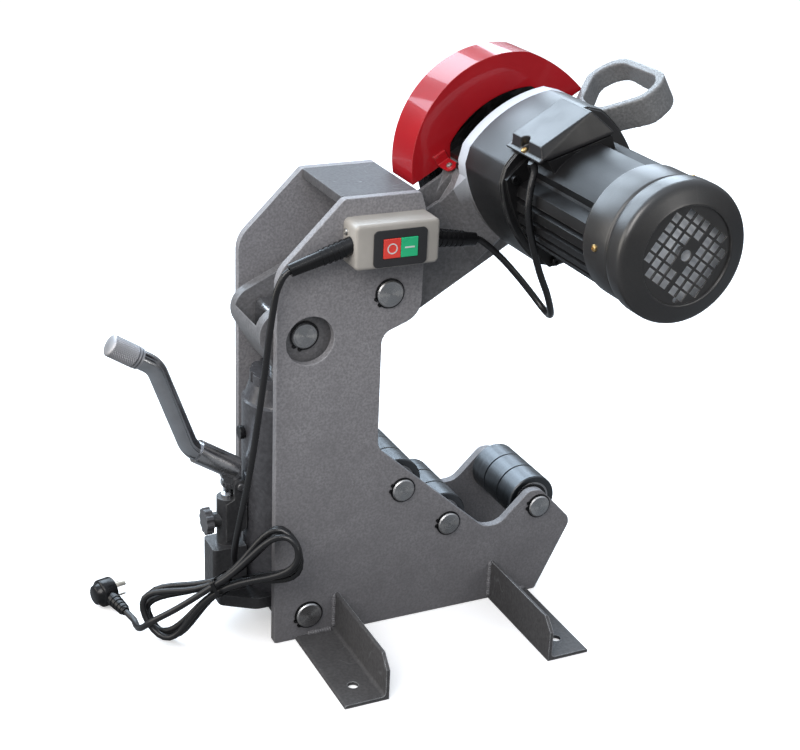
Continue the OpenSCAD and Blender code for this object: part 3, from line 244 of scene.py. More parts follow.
def skin(bm, rings, loop=False):
    """Faces between rings of vertices, with flat ends, or back to the first ring for a loop."""
    for low, high in zip(rings, rings[1:] + rings[:1] if loop else rings[1:]):
        for i in range(len(low)):
            k = (i + 1) % len(low)
            bm.faces.new((low[i], low[k], high[k], high[i]))
    if not loop:
        bm.faces.new(reversed(rings[0]))
        bm.faces.new(rings[-1])


def circle(sides):
    """Cosine and sine of even steps round a circle."""
    return [(math.cos(a), math.sin(a)) for a in (math.tau * i / sides for i in range(sides))]


def turn(bm, profile, place, axis, sides=32, loop=False):
    """Turns a profile of (radius, height) in millimetres about an axis through a place."""
    matrix = Matrix.Translation(place) @ frame_for(axis)
    rings = [[bm.verts.new(matrix @ mm(r * c, r * s, height)) for c, s in circle(sides)]
             for r, height in profile]
    skin(bm, rings, loop)


def tube(bm, path, radius, sides=20):
    """A round tube along a path; radius is a number or a function of the share of the way."""
    rings = []
    side = TUBE_SIDE
    for i, place in enumerate(path):
        along = (path[min(i + 1, len(path) - 1)] - path[max(i - 1, 0)]).normalized()
        side = (side - side.project(along)).normalized()
        other = along.cross(side)
        r = radius(i / (len(path) - 1)) if callable(radius) else radius
        rings.append([bm.verts.new(place + (side * c + other * s) * r) for c, s in circle(sides)])
    skin(bm, rings)


def block(bm, place, size, axes=Matrix()):
    """A box of three sizes in millimetres, turned by a matrix at a place; returns its corners."""
    matrix = Matrix.Translation(place) @ axes @ Matrix.Diagonal((*size, 1))
    return bmesh.ops.create_cube(bm, size=MM, matrix=matrix)["verts"]


print("corners above", round(math.degrees(CORNER)), "degrees stay sharp")

# %% [markdown]
# ## Motor lead
# The lead from the switch box to the motor is held at both ends and sags between them. When the
# arm comes down, one end goes with it. Here it is one round tube through the points below.

# %% Motor lead
LEAD_POINTS = [
    mm(46, -98, 541), mm(56, -99, 537), mm(80, -104, 516), mm(102, -112, 491), mm(118, -124, 469),
    mm(126, -138, 455), mm(126, -156, 452), mm(116, -174, 466), mm(98, -192, 496), mm(76, -206, 533),
    mm(57, -216, 576), mm(45, -224, 612), mm(47, -221, 638), mm(52.5, -218, 661), mm(47.2, -218, 670.6)]
lead_path = smooth_path(LEAD_POINTS)
bm = bmesh.new()
tube(bm, lead_path, CORD_WIDTH / 2)
motor_lead = finished("motor_lead_cable", bm)
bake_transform(motor_lead)
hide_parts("motor_lead")
print(f"motor lead {path_length(lead_path):.3f} m")

# %% [markdown]
# ## Plug
# The plug enters from the side: a ribbed boot runs into a round body that stands on its edge, with
# three flat pins on one face. Boot and body are turned shapes in one mesh; the pins are a second piece,
# because they are metal.

# %% Plug
PLUG_ALONG = Vector((-0.25, 0.96, 0.09)).normalized()
PLUG_FACING = Vector((0.96, 0.25, 0)).normalized()
PLUG_RISE = PLUG_FACING.cross(PLUG_ALONG)
BOOT_LENGTH, BODY_R, BODY_T, PIN_RING = 36, 19, 20, 10
BOOT_RIBS, RIB_FIRST, RIB_PITCH, RIB_SWELL = 4, 5, 7, 0.5
RIB = [(6.6, 0), (7.8, 0.6), (8.0, 3.4), (6.9, 4.2)]
PIN_SIZE, PIN_EDGE = (6.4, 1.7, 18), 0.4
boot_profile = [(0.5, 0.3), (5.6, 0.3), (6.2, 1.5)]
for k in range(BOOT_RIBS):
    boot_profile += [(r + RIB_SWELL * k, RIB_FIRST + RIB_PITCH * k + h) for r, h in RIB]
boot_profile += [(8.8, 34), (9, BOOT_LENGTH + 2), (0.5, BOOT_LENGTH + 2)]
half = BODY_T / 2
body_profile = [(0.5, -half - 8), (11.5, -half - 8), (13, -half - 7), (15.6, -half - 0.5), (17.6, -half),
                (18.7, -half + 1.2), (BODY_R, -half + 3), (BODY_R, half - 3), (18.7, half - 1.2),
                (17.6, half), (15.2, half), (14.6, half - 0.8), (0.5, half - 0.8)]
body_centre = TAIL_POINTS[-1] + PLUG_ALONG * (BOOT_LENGTH + BODY_R - 2) * MM
bm = bmesh.new()
turn(bm, boot_profile, TAIL_POINTS[-1], PLUG_ALONG)
turn(bm, body_profile, body_centre, PLUG_FACING, sides=48)
mains_plug = finished("plug_body", bm)
bm = bmesh.new()
for k in range(3):
    angle = math.radians(90 + 120 * k)
    out = PLUG_RISE * math.cos(angle) + PLUG_ALONG * math.sin(angle)
    flat = PLUG_FACING.cross(out) if k else out
    root = body_centre + (out * PIN_RING + PLUG_FACING * (half - 1)) * MM
    blade = Matrix((flat, PLUG_FACING.cross(flat), PLUG_FACING)).transposed().to_4x4()
    corners = block(bm, root + PLUG_FACING * PIN_SIZE[2] / 2 * MM, PIN_SIZE, blade)
    edges = dict.fromkeys(edge for corner in corners for edge in corner.link_edges)
    bmesh.ops.bevel(bm, geom=list(edges), offset=PIN_EDGE * MM, segments=2, profile=0.5, affect="EDGES")
plug_pins = finished("plug_pins", bm)
for piece in (mains_plug, plug_pins):
    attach(piece, "frame")
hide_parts("mains_plug")
print("plug body centre", [round(v, 3) for v in body_centre])

# %% [markdown]
# ## Shader helpers
# Node trees are long when they are written link by link. A few short functions keep them readable:
# they feed a socket with a value or a link, add a node, do arithmetic, mix two colours, and start a
# finish or a group.


# %% Shader helpers
def feed(tree, socket, value):
    """Gives a socket a plain value or a link from another socket."""
    if isinstance(value, bpy.types.NodeSocket):
        tree.links.new(value, socket)
    else:
        socket.default_value = value


def put(tree, kind, inputs=None, **settings):
    """Adds a shader node, with its settings and its inputs by name or number."""
    node = tree.nodes.new("ShaderNode" + kind)
    for key, value in settings.items():
        setattr(node, key, value)
    for key, value in (inputs or {}).items():
        feed(tree, node.inputs[key], value)
    return node


def calc(tree, operation, *values):
    """One step of arithmetic with values or sockets."""
    node = put(tree, "Math", dict(enumerate(values)), operation=operation)
    return node.outputs[0]


def between(tree, value, low, high, out_low=0.0, out_high=1.0):
    """Maps a value from one range to another, held at both ends."""
    node = put(tree, "MapRange", {"Value": value, "From Min": low, "From Max": high,
                                  "To Min": out_low, "To Max": out_high})
    return node.outputs["Result"]


def mixed(tree, factor, first, second):
    """A colour between two colours; each is a socket or three numbers."""
    ends = [c if isinstance(c, bpy.types.NodeSocket) else (*c, 1) for c in (first, second)]
    return put(tree, "Mix", {0: factor, 6: ends[0], 7: ends[1]}, data_type="RGBA").outputs[2]


def shaded(colour, factor):
    """A lighter or darker tone of a colour."""
    return tuple(c * factor for c in colour)


def noise(tree, place, scale, detail=2.0, roughness=0.5):
    """A noise of 0 to 1 over a place; scale is in features per metre."""
    node = put(tree, "TexNoise", {"Vector": place, "Scale": scale, "Detail": detail,
                                  "Roughness": roughness})
    return node.outputs["Fac"]


def new_finish(name, colour, roughness, metallic=0.0):
    """A node material with plain values on its shader; returns its tree and its shader."""
    made = bpy.data.materials.new(name)
    made.use_nodes = True
    shader = made.node_tree.nodes["Principled BSDF"]
    shader.inputs["Base Color"].default_value = (*colour, 1)
    shader.inputs["Roughness"].default_value = roughness
    shader.inputs["Metallic"].default_value = metallic
    made.diffuse_color = (*colour, 1)
    return made.node_tree, shader


def new_group(name, inputs, outputs):
    """An empty shader group; returns its tree, the sockets it is given and those it fills."""
    tree = bpy.data.node_groups.new(name, "ShaderNodeTree")
    for label, kind, value in inputs:
        socket = tree.interface.new_socket(label, in_out="INPUT", socket_type="NodeSocket" + kind)
        socket.default_value = value
    for label in outputs:
        tree.interface.new_socket(label, in_out="OUTPUT", socket_type="NodeSocketFloat")
    return tree, tree.nodes.new("NodeGroupInput").outputs, tree.nodes.new("NodeGroupOutput").inputs


print("shader helpers ready")

# %% [markdown]
# ## Floor and light
# The photograph has a white ground, bright daylight from behind and above, and a dimmer yard in
# front. That shows on the black parts: what faces up carries a pale, slightly blue sheen, and what
# faces the camera stays dark. So there are three tall soft boxes behind, with gaps that break up the
# reflection on the gloss guard, one at the upper left for the plates, a low one at the left that draws
# the bright lines along tubes and cut edges, a small one in front that glints on the faced pins, and a
# dim sky. Floor and sky are white to the camera, but the floor mirrors as grey ground, because a white
# studio floor would wash the undersides out.

# %% Floor and light
FLOOR_SIZE, FLOOR_DROP = 60, 0.0005
GROUND_GREY, PAPER_WHITE, PAPER_ROUGH, PAPER_GLOW = (0.16, 0.16, 0.16), (0.9, 0.9, 0.9), 0.9, 0.42
SKY_ABOVE, SKY_BELOW = (0.90, 0.97, 1.08), (0.20, 0.196, 0.192)
SKY_LOW, SKY_HIGH = 0.05, 0.9       # heights of a direction between which the sky brightens
LIT_PLACE = mm(50, -100, 480)
SOFT_BOXES = {      # place, width, height, watts, colour
    "back_left_box": (Vector((-1.30, 2.0, 2.2)), 1.0, 1.8, 38, (0.72, 0.86, 1.0)),
    "back_middle_box": (Vector((0.05, 2.0, 2.2)), 1.0, 1.8, 38, (0.72, 0.86, 1.0)),
    "back_right_box": (Vector((1.40, 2.0, 2.2)), 1.0, 1.8, 38, (0.72, 0.86, 1.0)),
    "left_box": (Vector((-1.35, -1.15, 1.75)), 1.2, 1.2, 26, (1.0, 0.96, 0.93)),
    "side_box": (Vector((-2.3, 0.4, 0.95)), 1.8, 1.5, 19, (1.0, 0.95, 0.88)),
    "front_box": (Vector((1.0, -2.4, 0.95)), 0.5, 0.7, 5, (1.0, 0.97, 0.93)),
}

bm = bmesh.new()
bmesh.ops.create_grid(bm, x_segments=2, y_segments=2, size=FLOOR_SIZE / 2)
floor = finished("floor", bm)
floor.location.z = -FLOOR_DROP
tree, ground = new_finish("floor_white", GROUND_GREY, PAPER_ROUGH)
paper = put(tree, "BsdfPrincipled", {"Base Color": (*PAPER_WHITE, 1), "Roughness": PAPER_ROUGH,
                                     "Emission Color": (1, 1, 1, 1), "Emission Strength": PAPER_GLOW})
seen = put(tree, "LightPath").outputs["Is Camera Ray"]
either = put(tree, "MixShader", {0: seen, 1: ground.outputs[0], 2: paper.outputs[0]})
feed(tree, tree.nodes["Material Output"].inputs["Surface"], either.outputs[0])
floor.data.materials.append(bpy.data.materials["floor_white"])

sky = bpy.data.worlds.new("sky")
sky.use_nodes = True
tree = sky.node_tree
height = put(tree, "SeparateXYZ", {0: put(tree, "TexCoord").outputs["Generated"]}).outputs["Z"]
light = mixed(tree, between(tree, height, SKY_LOW, SKY_HIGH), SKY_BELOW, SKY_ABOVE)
seen = put(tree, "LightPath").outputs["Is Camera Ray"]
feed(tree, tree.nodes["Background"].inputs["Color"], mixed(tree, seen, light, (1, 1, 1)))
scene.world = sky

for name, (place, width, tall, watts, colour) in SOFT_BOXES.items():
    lamp = bpy.data.lights.new(name, "AREA")
    lamp.shape, lamp.size, lamp.size_y = "RECTANGLE", width, tall
    lamp.energy, lamp.color = watts, colour
    box = bpy.data.objects.new(name, lamp)
    box.location = place
    box.rotation_euler = (LIT_PLACE - place).to_track_quat("-Z", "Y").to_euler()
    scene.collection.objects.link(box)
scene.view_settings.view_transform = "Standard"
print("sky from", SKY_BELOW, "to", SKY_ABOVE, "and", len(SOFT_BOXES), "soft boxes")

# %% [markdown]
# ## Skin of paint and castings
# Sprayed paint is never flat: hammer finish has shallow cells of two or three millimetres, a casting
# has coarser lumps under its paint, and moulded plastic has a fine grain. One group makes all of
# these from two noises and a cell pattern, with the size of the grain and of the lumps as inputs.
# It puts out a height for the bump, a slow mottle for colour and gloss, and a fine fleck.

# %% Group for grainy skins
tree, given, fill = new_group(
    "grainy_skin", [("Grain per metre", "Float", 500.0), ("Lumps per metre", "Float", 40.0)],
    ["Height", "Mottle", "Fleck"])
place = put(tree, "TexCoord").outputs["Object"]
fine = noise(tree, place, given["Grain per metre"], 2.0, 0.6)
cells = put(tree, "TexVoronoi", {"Vector": place, "Scale": given["Grain per metre"]}, feature="SMOOTH_F1")
lumps = noise(tree, place, given["Lumps per metre"], 3.0, 0.55)
cell_share = calc(tree, "MULTIPLY", cells.outputs["Distance"], 0.5)
grain = calc(tree, "ADD", calc(tree, "MULTIPLY", fine, 0.6), cell_share)
feed(tree, fill["Height"], calc(tree, "ADD", grain, calc(tree, "MULTIPLY", lumps, 0.6)))
feed(tree, fill["Mottle"], between(tree, lumps, 0.3, 0.7))
feed(tree, fill["Fleck"], between(tree, fine, 0.35, 0.65))
print("group", tree.name)

# %% [markdown]
# ## Worn edges
# Paint goes thin and pale on every edge that is knocked. The Bevel node looks at the surface around
# a point: where its rounded normal differs from the real one, there is an edge. A noise breaks the
# line up, because wear is never even.

# %% Group for worn edges
tree, given, fill = new_group(
    "worn_edge", [("Reach", "Float", 0.002), ("Patches per metre", "Float", 60.0), ("Amount", "Float", 0.6)],
    ["Wear"])
place = put(tree, "TexCoord").outputs["Object"]
rounded = put(tree, "Bevel", {"Radius": given["Reach"]}, samples=4)
facing = put(tree, "NewGeometry")
same = put(tree, "VectorMath", {0: rounded.outputs["Normal"], 1: facing.outputs["Normal"]},
           operation="DOT_PRODUCT")
edge = between(tree, same.outputs["Value"], 0.985, 0.86)
patches = noise(tree, place, given["Patches per metre"], 4.0, 0.65)
patchy = between(tree, calc(tree, "ADD", patches, calc(tree, "MULTIPLY", given["Amount"], 0.5)), 0.55, 0.85)
feed(tree, fill["Wear"], calc(tree, "MULTIPLY", edge, patchy))
print("group", tree.name)

# %% [markdown]
# ## Lathe marks
# A turned face carries fine rings about its axis. The group measures how far a point is from the
# axis and how far along it, and reads a one-dimensional noise at their sum. That draws circles on an
# end face and lines round a shaft, whichever the point lies on.

# %% Group for lathe marks
tree, given, fill = new_group(
    "lathe_marks", [("Centre", "Vector", (0, 0, 0)), ("Axis", "Vector", (0, 1, 0)),
                    ("Lines per metre", "Float", 1500.0)], ["Ring", "Band"])
place = put(tree, "TexCoord").outputs["Object"]
off = put(tree, "VectorMath", {0: place, 1: given["Centre"]}, operation="SUBTRACT").outputs["Vector"]
along = put(tree, "VectorMath", {0: off, 1: given["Axis"]}, operation="DOT_PRODUCT").outputs["Value"]
outward = put(tree, "VectorMath", {0: off, 1: given["Axis"]}, operation="CROSS_PRODUCT").outputs["Vector"]
radius = put(tree, "VectorMath", {0: outward}, operation="LENGTH").outputs["Value"]
where = calc(tree, "MULTIPLY", calc(tree, "ADD", along, radius), given["Lines per metre"])
for label, scale in (("Ring", 1.0), ("Band", 0.13)):
    lines = put(tree, "TexNoise", {"W": where, "Scale": scale, "Detail": 1.5}, noise_dimensions="1D")
    feed(tree, fill[label], between(tree, lines.outputs["Fac"], 0.25, 0.75))
print("group", tree.name)

# %% [markdown]
# ## Scratches and dust
# Handled steel and paint pick up hairlines. Where a stretched noise crosses one value it draws thin
# curves, and a second noise keeps only a few of them. Dust settles on what faces up, so its mask is
# the height of the surface's normal, broken by a slow noise.

# %% Groups for scratches and dust
tree, given, fill = new_group(
    "hairlines", [("Lines per metre", "Float", 30.0), ("Amount", "Float", 0.5)], ["Scratch"])
place = put(tree, "TexCoord").outputs["Object"]
stretched = put(tree, "Mapping", {"Vector": place, "Rotation": (0.4, 0.9, 0.3), "Scale": (1.0, 1.0, 0.22)})
waves = noise(tree, stretched.outputs["Vector"], given["Lines per metre"], 1.0, 0.4)
thin = between(tree, calc(tree, "ABSOLUTE", calc(tree, "SUBTRACT", waves, 0.5)), 0.007, 0.001)
some = between(tree, noise(tree, place, calc(tree, "MULTIPLY", given["Lines per metre"], 1.7)), 0.52, 0.62)
feed(tree, fill["Scratch"], calc(tree, "MULTIPLY", calc(tree, "MULTIPLY", thin, some), given["Amount"]))
print("group", tree.name)

tree, given, fill = new_group(
    "settled_dust", [("Patches per metre", "Float", 18.0), ("Amount", "Float", 0.3)], ["Dust"])
coordinates = put(tree, "TexCoord")
up = put(tree, "SeparateXYZ", {0: coordinates.outputs["Normal"]}).outputs["Z"]
patches = noise(tree, coordinates.outputs["Object"], given["Patches per metre"], 4.0, 0.6)
mask = calc(tree, "MULTIPLY", between(tree, up, 0.45, 0.98), between(tree, patches, 0.3, 0.75))
feed(tree, fill["Dust"], calc(tree, "MULTIPLY", mask, given["Amount"]))
print("group", tree.name)

# %% [markdown]
# ## Finishes from the groups
# Every kind of finish is one short function: it places the groups it needs, mixes colours with their
# masks and sends their heights to one Bump node. Plain numbers, such as the coat on the red guard, stay
# on the shader's own sockets. Finishes have names of their own, apart from those of the solids' slots,
# which plain materials may already bear. The gear housing, the motor and its cover are all black, and
# differ in gloss more than in shade. The plates and feet carry painted shade that darkens them towards
# the floor. The head's casting carries a painted pale bluish sheen on the top of its flange's rim, is
# grey below it, and is painted black behind it as the shade in the gap there, so its colour is split by
# how far across and over the arm a point lies.


# %% Painted finishes
def use_group(tree, name, **inputs):
    """Places a shader group; words of an input's name are joined by underscores here."""
    node = tree.nodes.new("ShaderNodeGroup")
    node.node_tree = bpy.data.node_groups[name]
    for key, value in inputs.items():
        feed(tree, node.inputs[key.replace("_", " ")], value)
    return node.outputs


def add_bump(tree, shader, height, depth):
    """Sends a height to the shader's normal; depth is in millimetres."""
    bump = put(tree, "Bump", {"Height": height, "Distance": depth * MM, "Strength": 1.0})
    tree.links.new(bump.outputs["Normal"], shader.inputs["Normal"])


def uneven_gloss(tree, shader, mask, low, high):
    """Lets a mask drive the roughness from low to high."""
    feed(tree, shader.inputs["Roughness"], between(tree, mask, 0, 1, low, high))


def painted_steel(name, paint, worn, grain, lumps, depth, roughness, reach, amount, lines, dust,
                  gloss=0.5, floor_shade=0.0):
    """Sprayed paint with pale edges, hairlines, dust, and painted shade that darkens it towards the floor.
    """
    tree, shader = new_finish(name, paint, roughness)
    shader.inputs["Specular IOR Level"].default_value = gloss
    skin_of = use_group(tree, "grainy_skin", Grain_per_metre=grain, Lumps_per_metre=lumps)
    wear = use_group(tree, "worn_edge", Reach=reach * MM, Patches_per_metre=70, Amount=amount)["Wear"]
    scratch = use_group(tree, "hairlines", Lines_per_metre=24, Amount=lines)["Scratch"]
    film = use_group(tree, "settled_dust", Patches_per_metre=14, Amount=dust)["Dust"]
    colour = mixed(tree, skin_of["Mottle"], shaded(paint, MOTTLE_DARK), shaded(paint, MOTTLE_PALE))
    colour = mixed(tree, skin_of["Fleck"], colour, shaded(paint, FLECK_TONE))
    colour = mixed(tree, calc(tree, "MAXIMUM", wear, scratch), colour, worn)
    colour = mixed(tree, film, colour, DUST_GREY)
    # Painted shade: the paint is darkened towards the floor, where less light reaches it
    if floor_shade:
        height = put(tree, "SeparateXYZ", {0: put(tree, "TexCoord").outputs["Object"]}).outputs["Z"]
        low = calc(tree, "ADD", height, calc(tree, "MULTIPLY", skin_of["Mottle"], FLOOR_SHADE_DRIFT))
        floor_shade_mask = between(tree, low, FLOOR_SHADE_FROM, FLOOR_SHADE_TO, 0.0, floor_shade)
        colour = mixed(tree, floor_shade_mask, colour, shaded(paint, FLOOR_SHADE_TONE))
    feed(tree, shader.inputs["Base Color"], colour)
    uneven_gloss(tree, shader, skin_of["Mottle"], roughness - 0.04, roughness + 0.04)
    add_bump(tree, shader, skin_of["Height"], depth)
    return shader


BARE_EDGE, BLACK_EDGE, DUST_GREY = (0.56, 0.58, 0.60), (0.10, 0.10, 0.10), (0.34, 0.33, 0.31)
# Painted light on the head's casting: a pale bluish sheen for the top of the flange's rim, and black shade
# for the gap behind it
RIM_SHEEN, GAP_SHADE = (0.60, 0.64, 0.70), (0.006, 0.006, 0.006)
MOTTLE_DARK, MOTTLE_PALE, FLECK_TONE, FLOOR_SHADE_TONE = 0.94, 1.08, 0.72, 0.36
# Painted shade towards the floor: the height where it starts, where it is full, and how far the mottle moves
# it
FLOOR_SHADE_FROM, FLOOR_SHADE_TO, FLOOR_SHADE_DRIFT = 0.38, 0.03, 0.04    # heights in metres
# Colour, colour of worn edges, grain and lumps per metre, depth in millimetres, roughness, reach of wear
# in millimetres, its amount, hairlines, dust, and where they differ from the usual, gloss and painted floor
# shade
PAINTS = {
    "plate_enamel": ((0.316, 0.309, 0.322), BARE_EDGE, 330, 34, 0.36, 0.52, 1.8, 0.35, 0.12, 0.05, 0.35,
                     0.6),
    "tie_paint": ((0.106, 0.103, 0.107), BARE_EDGE, 240, 40, 0.45, 0.54, 1.8, 0.35, 0.3, 0.03, 0.3),
    "foot_paint": ((0.110, 0.108, 0.110), BARE_EDGE, 240, 30, 0.50, 0.56, 1.8, 0.6, 0.15, 0.03, 0.3, 0.25),
    "arm_enamel": ((0.192, 0.190, 0.197), (0.34, 0.35, 0.36), 260, 60, 0.55, 0.40, 3, 0.4, 0.1, 0.03, 0.6),
    "handle_cast": ((0.235, 0.238, 0.240), (0.30, 0.30, 0.30), 330, 90, 0.60, 0.34, 3, 0.5, 0.1, 0.05),
    "jack_paint": ((0.0780, 0.0780, 0.0850), BLACK_EDGE, 160, 30, 0.10, 0.24, 1.2, 0.2, 0.05, 0.01),
    "jack_casting": ((0.0420, 0.0425, 0.0450), (0.16, 0.16, 0.16), 300, 110, 0.55, 0.34, 2, 0.4, 0.05, 0.02),
    "motor_paint": ((0.0080, 0.0080, 0.0087), BLACK_EDGE, 700, 22, 0.05, 0.42, 1.2, 0.25, 0, 0.004, 0.4),
    "housing_paint": ((0.0062, 0.0063, 0.0070), BLACK_EDGE, 700, 22, 0.05, 0.38, 1.2, 0.25, 0, 0.004, 0.85),
    "cover_paint": ((0.0200, 0.0193, 0.0190), (0.42, 0.41, 0.39), 700, 24, 0.05, 0.34, 1.2, 0.22, 0.03,
                    0.004, 1.0),
}
painted = {name: painted_steel(name, *values) for name, values in PAINTS.items()}

FLANGE_EDGE, FLANGE_LOW = -0.0680, 0.050        # across the machine and over the spindle, in metres
SHEEN_FROM, SHEEN_TO, EDGE_FADE, LOW_FADE = 0.010, 0.060, 0.0006, 0.001
arm_paint, tree = painted["arm_enamel"], bpy.data.materials["arm_enamel"].node_tree
place = put(tree, "TexCoord").outputs["Object"]
across = put(tree, "SeparateXYZ", {0: place}).outputs["Y"]
from_spindle = put(tree, "VectorMath", {0: place, 1: SPINDLE}, operation="SUBTRACT").outputs["Vector"]
rise = put(tree, "VectorMath", {0: from_spindle, 1: OVER_ARM}, operation="DOT_PRODUCT").outputs["Value"]
past_edge = between(tree, across, FLANGE_EDGE, FLANGE_EDGE + EDGE_FADE)
on_top = between(tree, rise, FLANGE_LOW, FLANGE_LOW + LOW_FADE)
grey = arm_paint.inputs["Base Color"].links[0].from_socket
# Painted sheen: higher over the spindle the grey turns pale blue grey, as on a rim lit by the sky
with_sheen = mixed(tree, between(tree, rise, SHEEN_FROM, SHEEN_TO), grey, RIM_SHEEN)
# Painted shade: behind the flange's rim and above the neck the casting is coloured near-black
gap_shaded = mixed(tree, on_top, grey, GAP_SHADE)
feed(tree, arm_paint.inputs["Base Color"], mixed(tree, past_edge, with_sheen, gap_shaded))
print(len(PAINTS), "painted finishes")

# %% [markdown]
# ## Plastics and rubber
# The terminal lid, the switch box with its buttons, the fan and the plug are moulded plastic, and the
# cords are rubber. Next to paint they have a finer grain and no worn edges, so they need only the
# grainy skin, their own gloss, and in places a little dust.


# %% Plastics and rubber
def moulded_plastic(name, colour, roughness, gloss=0.5, dust=0.0, grain=900, depth=0.05):
    """Plastic with a fine moulded grain and slightly uneven gloss."""
    tree, shader = new_finish(name, colour, roughness)
    shader.inputs["Specular IOR Level"].default_value = gloss
    skin_of = use_group(tree, "grainy_skin", Grain_per_metre=grain, Lumps_per_metre=30.0)
    tone = mixed(tree, skin_of["Mottle"], shaded(colour, 0.93), shaded(colour, 1.06))
    if dust:
        film = use_group(tree, "settled_dust", Patches_per_metre=25.0, Amount=dust)["Dust"]
        tone = mixed(tree, film, tone, PALE_DUST)
    feed(tree, shader.inputs["Base Color"], tone)
    uneven_gloss(tree, shader, skin_of["Mottle"], roughness - 0.05, roughness + 0.06)
    add_bump(tree, shader, skin_of["Height"], depth)


PALE_DUST = (0.36, 0.35, 0.33)
PLASTICS = {        # colour, roughness, and where they differ from the usual, gloss, dust, grain and depth
    "black_moulding": ((0.0070, 0.0071, 0.0078), 0.24, 0.38, 0.003),
    "bezel_moulding": ((0.0340, 0.0343, 0.0362), 0.36),
    "lid_plastic": ((0.0105, 0.0108, 0.0118), 0.33, 0.75, 0.004),
    "fan_moulding": ((0.86, 0.89, 0.93), 0.40),
    "box_plastic": ((0.450, 0.425, 0.385), 0.34, 0.5, 0.03, 800),
    "stop_red": ((0.94, 0.074, 0.054), 0.30),
    "start_green": ((0.030, 0.600, 0.260), 0.30),
    "mark_white": ((0.82, 0.82, 0.80), 0.5),
    "cord_sheath": ((0.0130, 0.0132, 0.0142), 0.29, 0.5, 0.006, 600, 0.06),
}
for name, values in PLASTICS.items():
    moulded_plastic(name, *values)
print(len(PLASTICS), "plastics")

# %% [markdown]
# ## Gloss red guard
# The guard is thin sheet with gloss paint: a strong red under a thin clear layer that mirrors the
# sky. The coat is plain numbers; the colour drifts a little and the surface has a slow orange peel.
# Its inside is painted near-black as shade, because little light falls into it. A face belongs to the inside
# where its normal points back towards the guard's middle, so one dot product tells the two apart.

# %% Gloss red guard
GUARD_RED, WORN_RED, INSIDE_SHADE = (0.400, 0.0095, 0.0150), (0.52, 0.10, 0.10), (0.012, 0.011, 0.011)
GUARD_INSIDE, INSIDE_FADE = 0.030, 0.0005       # metres
guard_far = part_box("cutter_guard")[1].y
middle_of_guard = Vector((SPINDLE.x, guard_far - GUARD_INSIDE, SPINDLE.z))
tree, shader = new_finish("guard_paint", GUARD_RED, 0.30)
shader.inputs["Specular IOR Level"].default_value = 0.12
shader.inputs["Coat Weight"].default_value = 0.45
shader.inputs["Coat Roughness"].default_value = 0.04
peel = use_group(tree, "grainy_skin", Grain_per_metre=110.0, Lumps_per_metre=9.0)
wear = use_group(tree, "worn_edge", Reach=0.0014, Patches_per_metre=60.0, Amount=0.35)["Wear"]
red = mixed(tree, peel["Mottle"], shaded(GUARD_RED, 0.88), shaded(GUARD_RED, 1.1))
coordinates = put(tree, "TexCoord")
from_middle = put(tree, "VectorMath", {0: coordinates.outputs["Object"], 1: middle_of_guard},
                  operation="SUBTRACT").outputs["Vector"]
outside = put(tree, "VectorMath", {0: from_middle, 1: coordinates.outputs["Normal"]},
              operation="DOT_PRODUCT")
# Painted shade: faces inside the guard are coloured near-black, where little light falls
inside = between(tree, outside.outputs["Value"], INSIDE_FADE, -INSIDE_FADE)
red = mixed(tree, wear, red, WORN_RED)
feed(tree, shader.inputs["Base Color"], mixed(tree, inside, red, INSIDE_SHADE))
add_bump(tree, shader, peel["Height"], 0.08)
print("guard red", GUARD_RED)

# %% [markdown]
# ## Bare metals
# Pins, rollers and the wheel are turned or ground steel. Lathe rings change both shade and gloss,
# and a radial tangent stretches the highlights into the bright wedges that a faced end shows. The
# marks need the axis, so each turned piece has its own finish, with the centre read from its box.


# %% Bare metals
def turned_metal(name, colour, centre, axis, roughness, stretch=0.6, scratches=0.3):
    """Turned steel with rings about an axis through a centre."""
    tree, shader = new_finish(name, colour, roughness, 1.0)
    marks = use_group(tree, "lathe_marks", Centre=centre, Axis=axis, Lines_per_metre=LATHE_LINES)
    scratch = use_group(tree, "hairlines", Lines_per_metre=90.0, Amount=scratches)["Scratch"]
    shade = calc(tree, "MULTIPLY", calc(tree, "ADD", marks["Ring"], marks["Band"]), 0.5)
    steel = mixed(tree, shade, shaded(colour, 1 - LATHE_CONTRAST), shaded(colour, 1 + LATHE_CONTRAST))
    feed(tree, shader.inputs["Base Color"], mixed(tree, scratch, steel, SCRATCH_GREY))
    uneven_gloss(tree, shader, shade, roughness - 0.07, roughness + 0.09)
    shader.inputs["Anisotropic"].default_value = stretch
    longest = max(range(3), key=lambda i: abs(axis[i]))
    tangent = put(tree, "Tangent", direction_type="RADIAL", axis="XYZ"[longest])
    tree.links.new(tangent.outputs["Tangent"], shader.inputs["Tangent"])
    add_bump(tree, shader, marks["Ring"], LATHE_DEPTH)


def handled_metal(name, colour, roughness, scratches=0.5):
    """Plated or plain steel without an axis, with hairlines and cloudy gloss."""
    tree, shader = new_finish(name, colour, roughness, 1.0)
    skin_of = use_group(tree, "grainy_skin", Grain_per_metre=900.0, Lumps_per_metre=45.0)
    scratch = use_group(tree, "hairlines", Lines_per_metre=45.0, Amount=scratches)["Scratch"]
    tone = mixed(tree, skin_of["Mottle"], shaded(colour, 0.9), shaded(colour, 1.08))
    feed(tree, shader.inputs["Base Color"], mixed(tree, scratch, tone, shaded(colour, 1.5)))
    uneven_gloss(tree, shader, skin_of["Mottle"], roughness - 0.06, roughness + 0.08)
    add_bump(tree, shader, skin_of["Height"], 0.03)


def middle(node):
    """The middle of a solid's box."""
    low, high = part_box(node)
    return (low + high) / 2


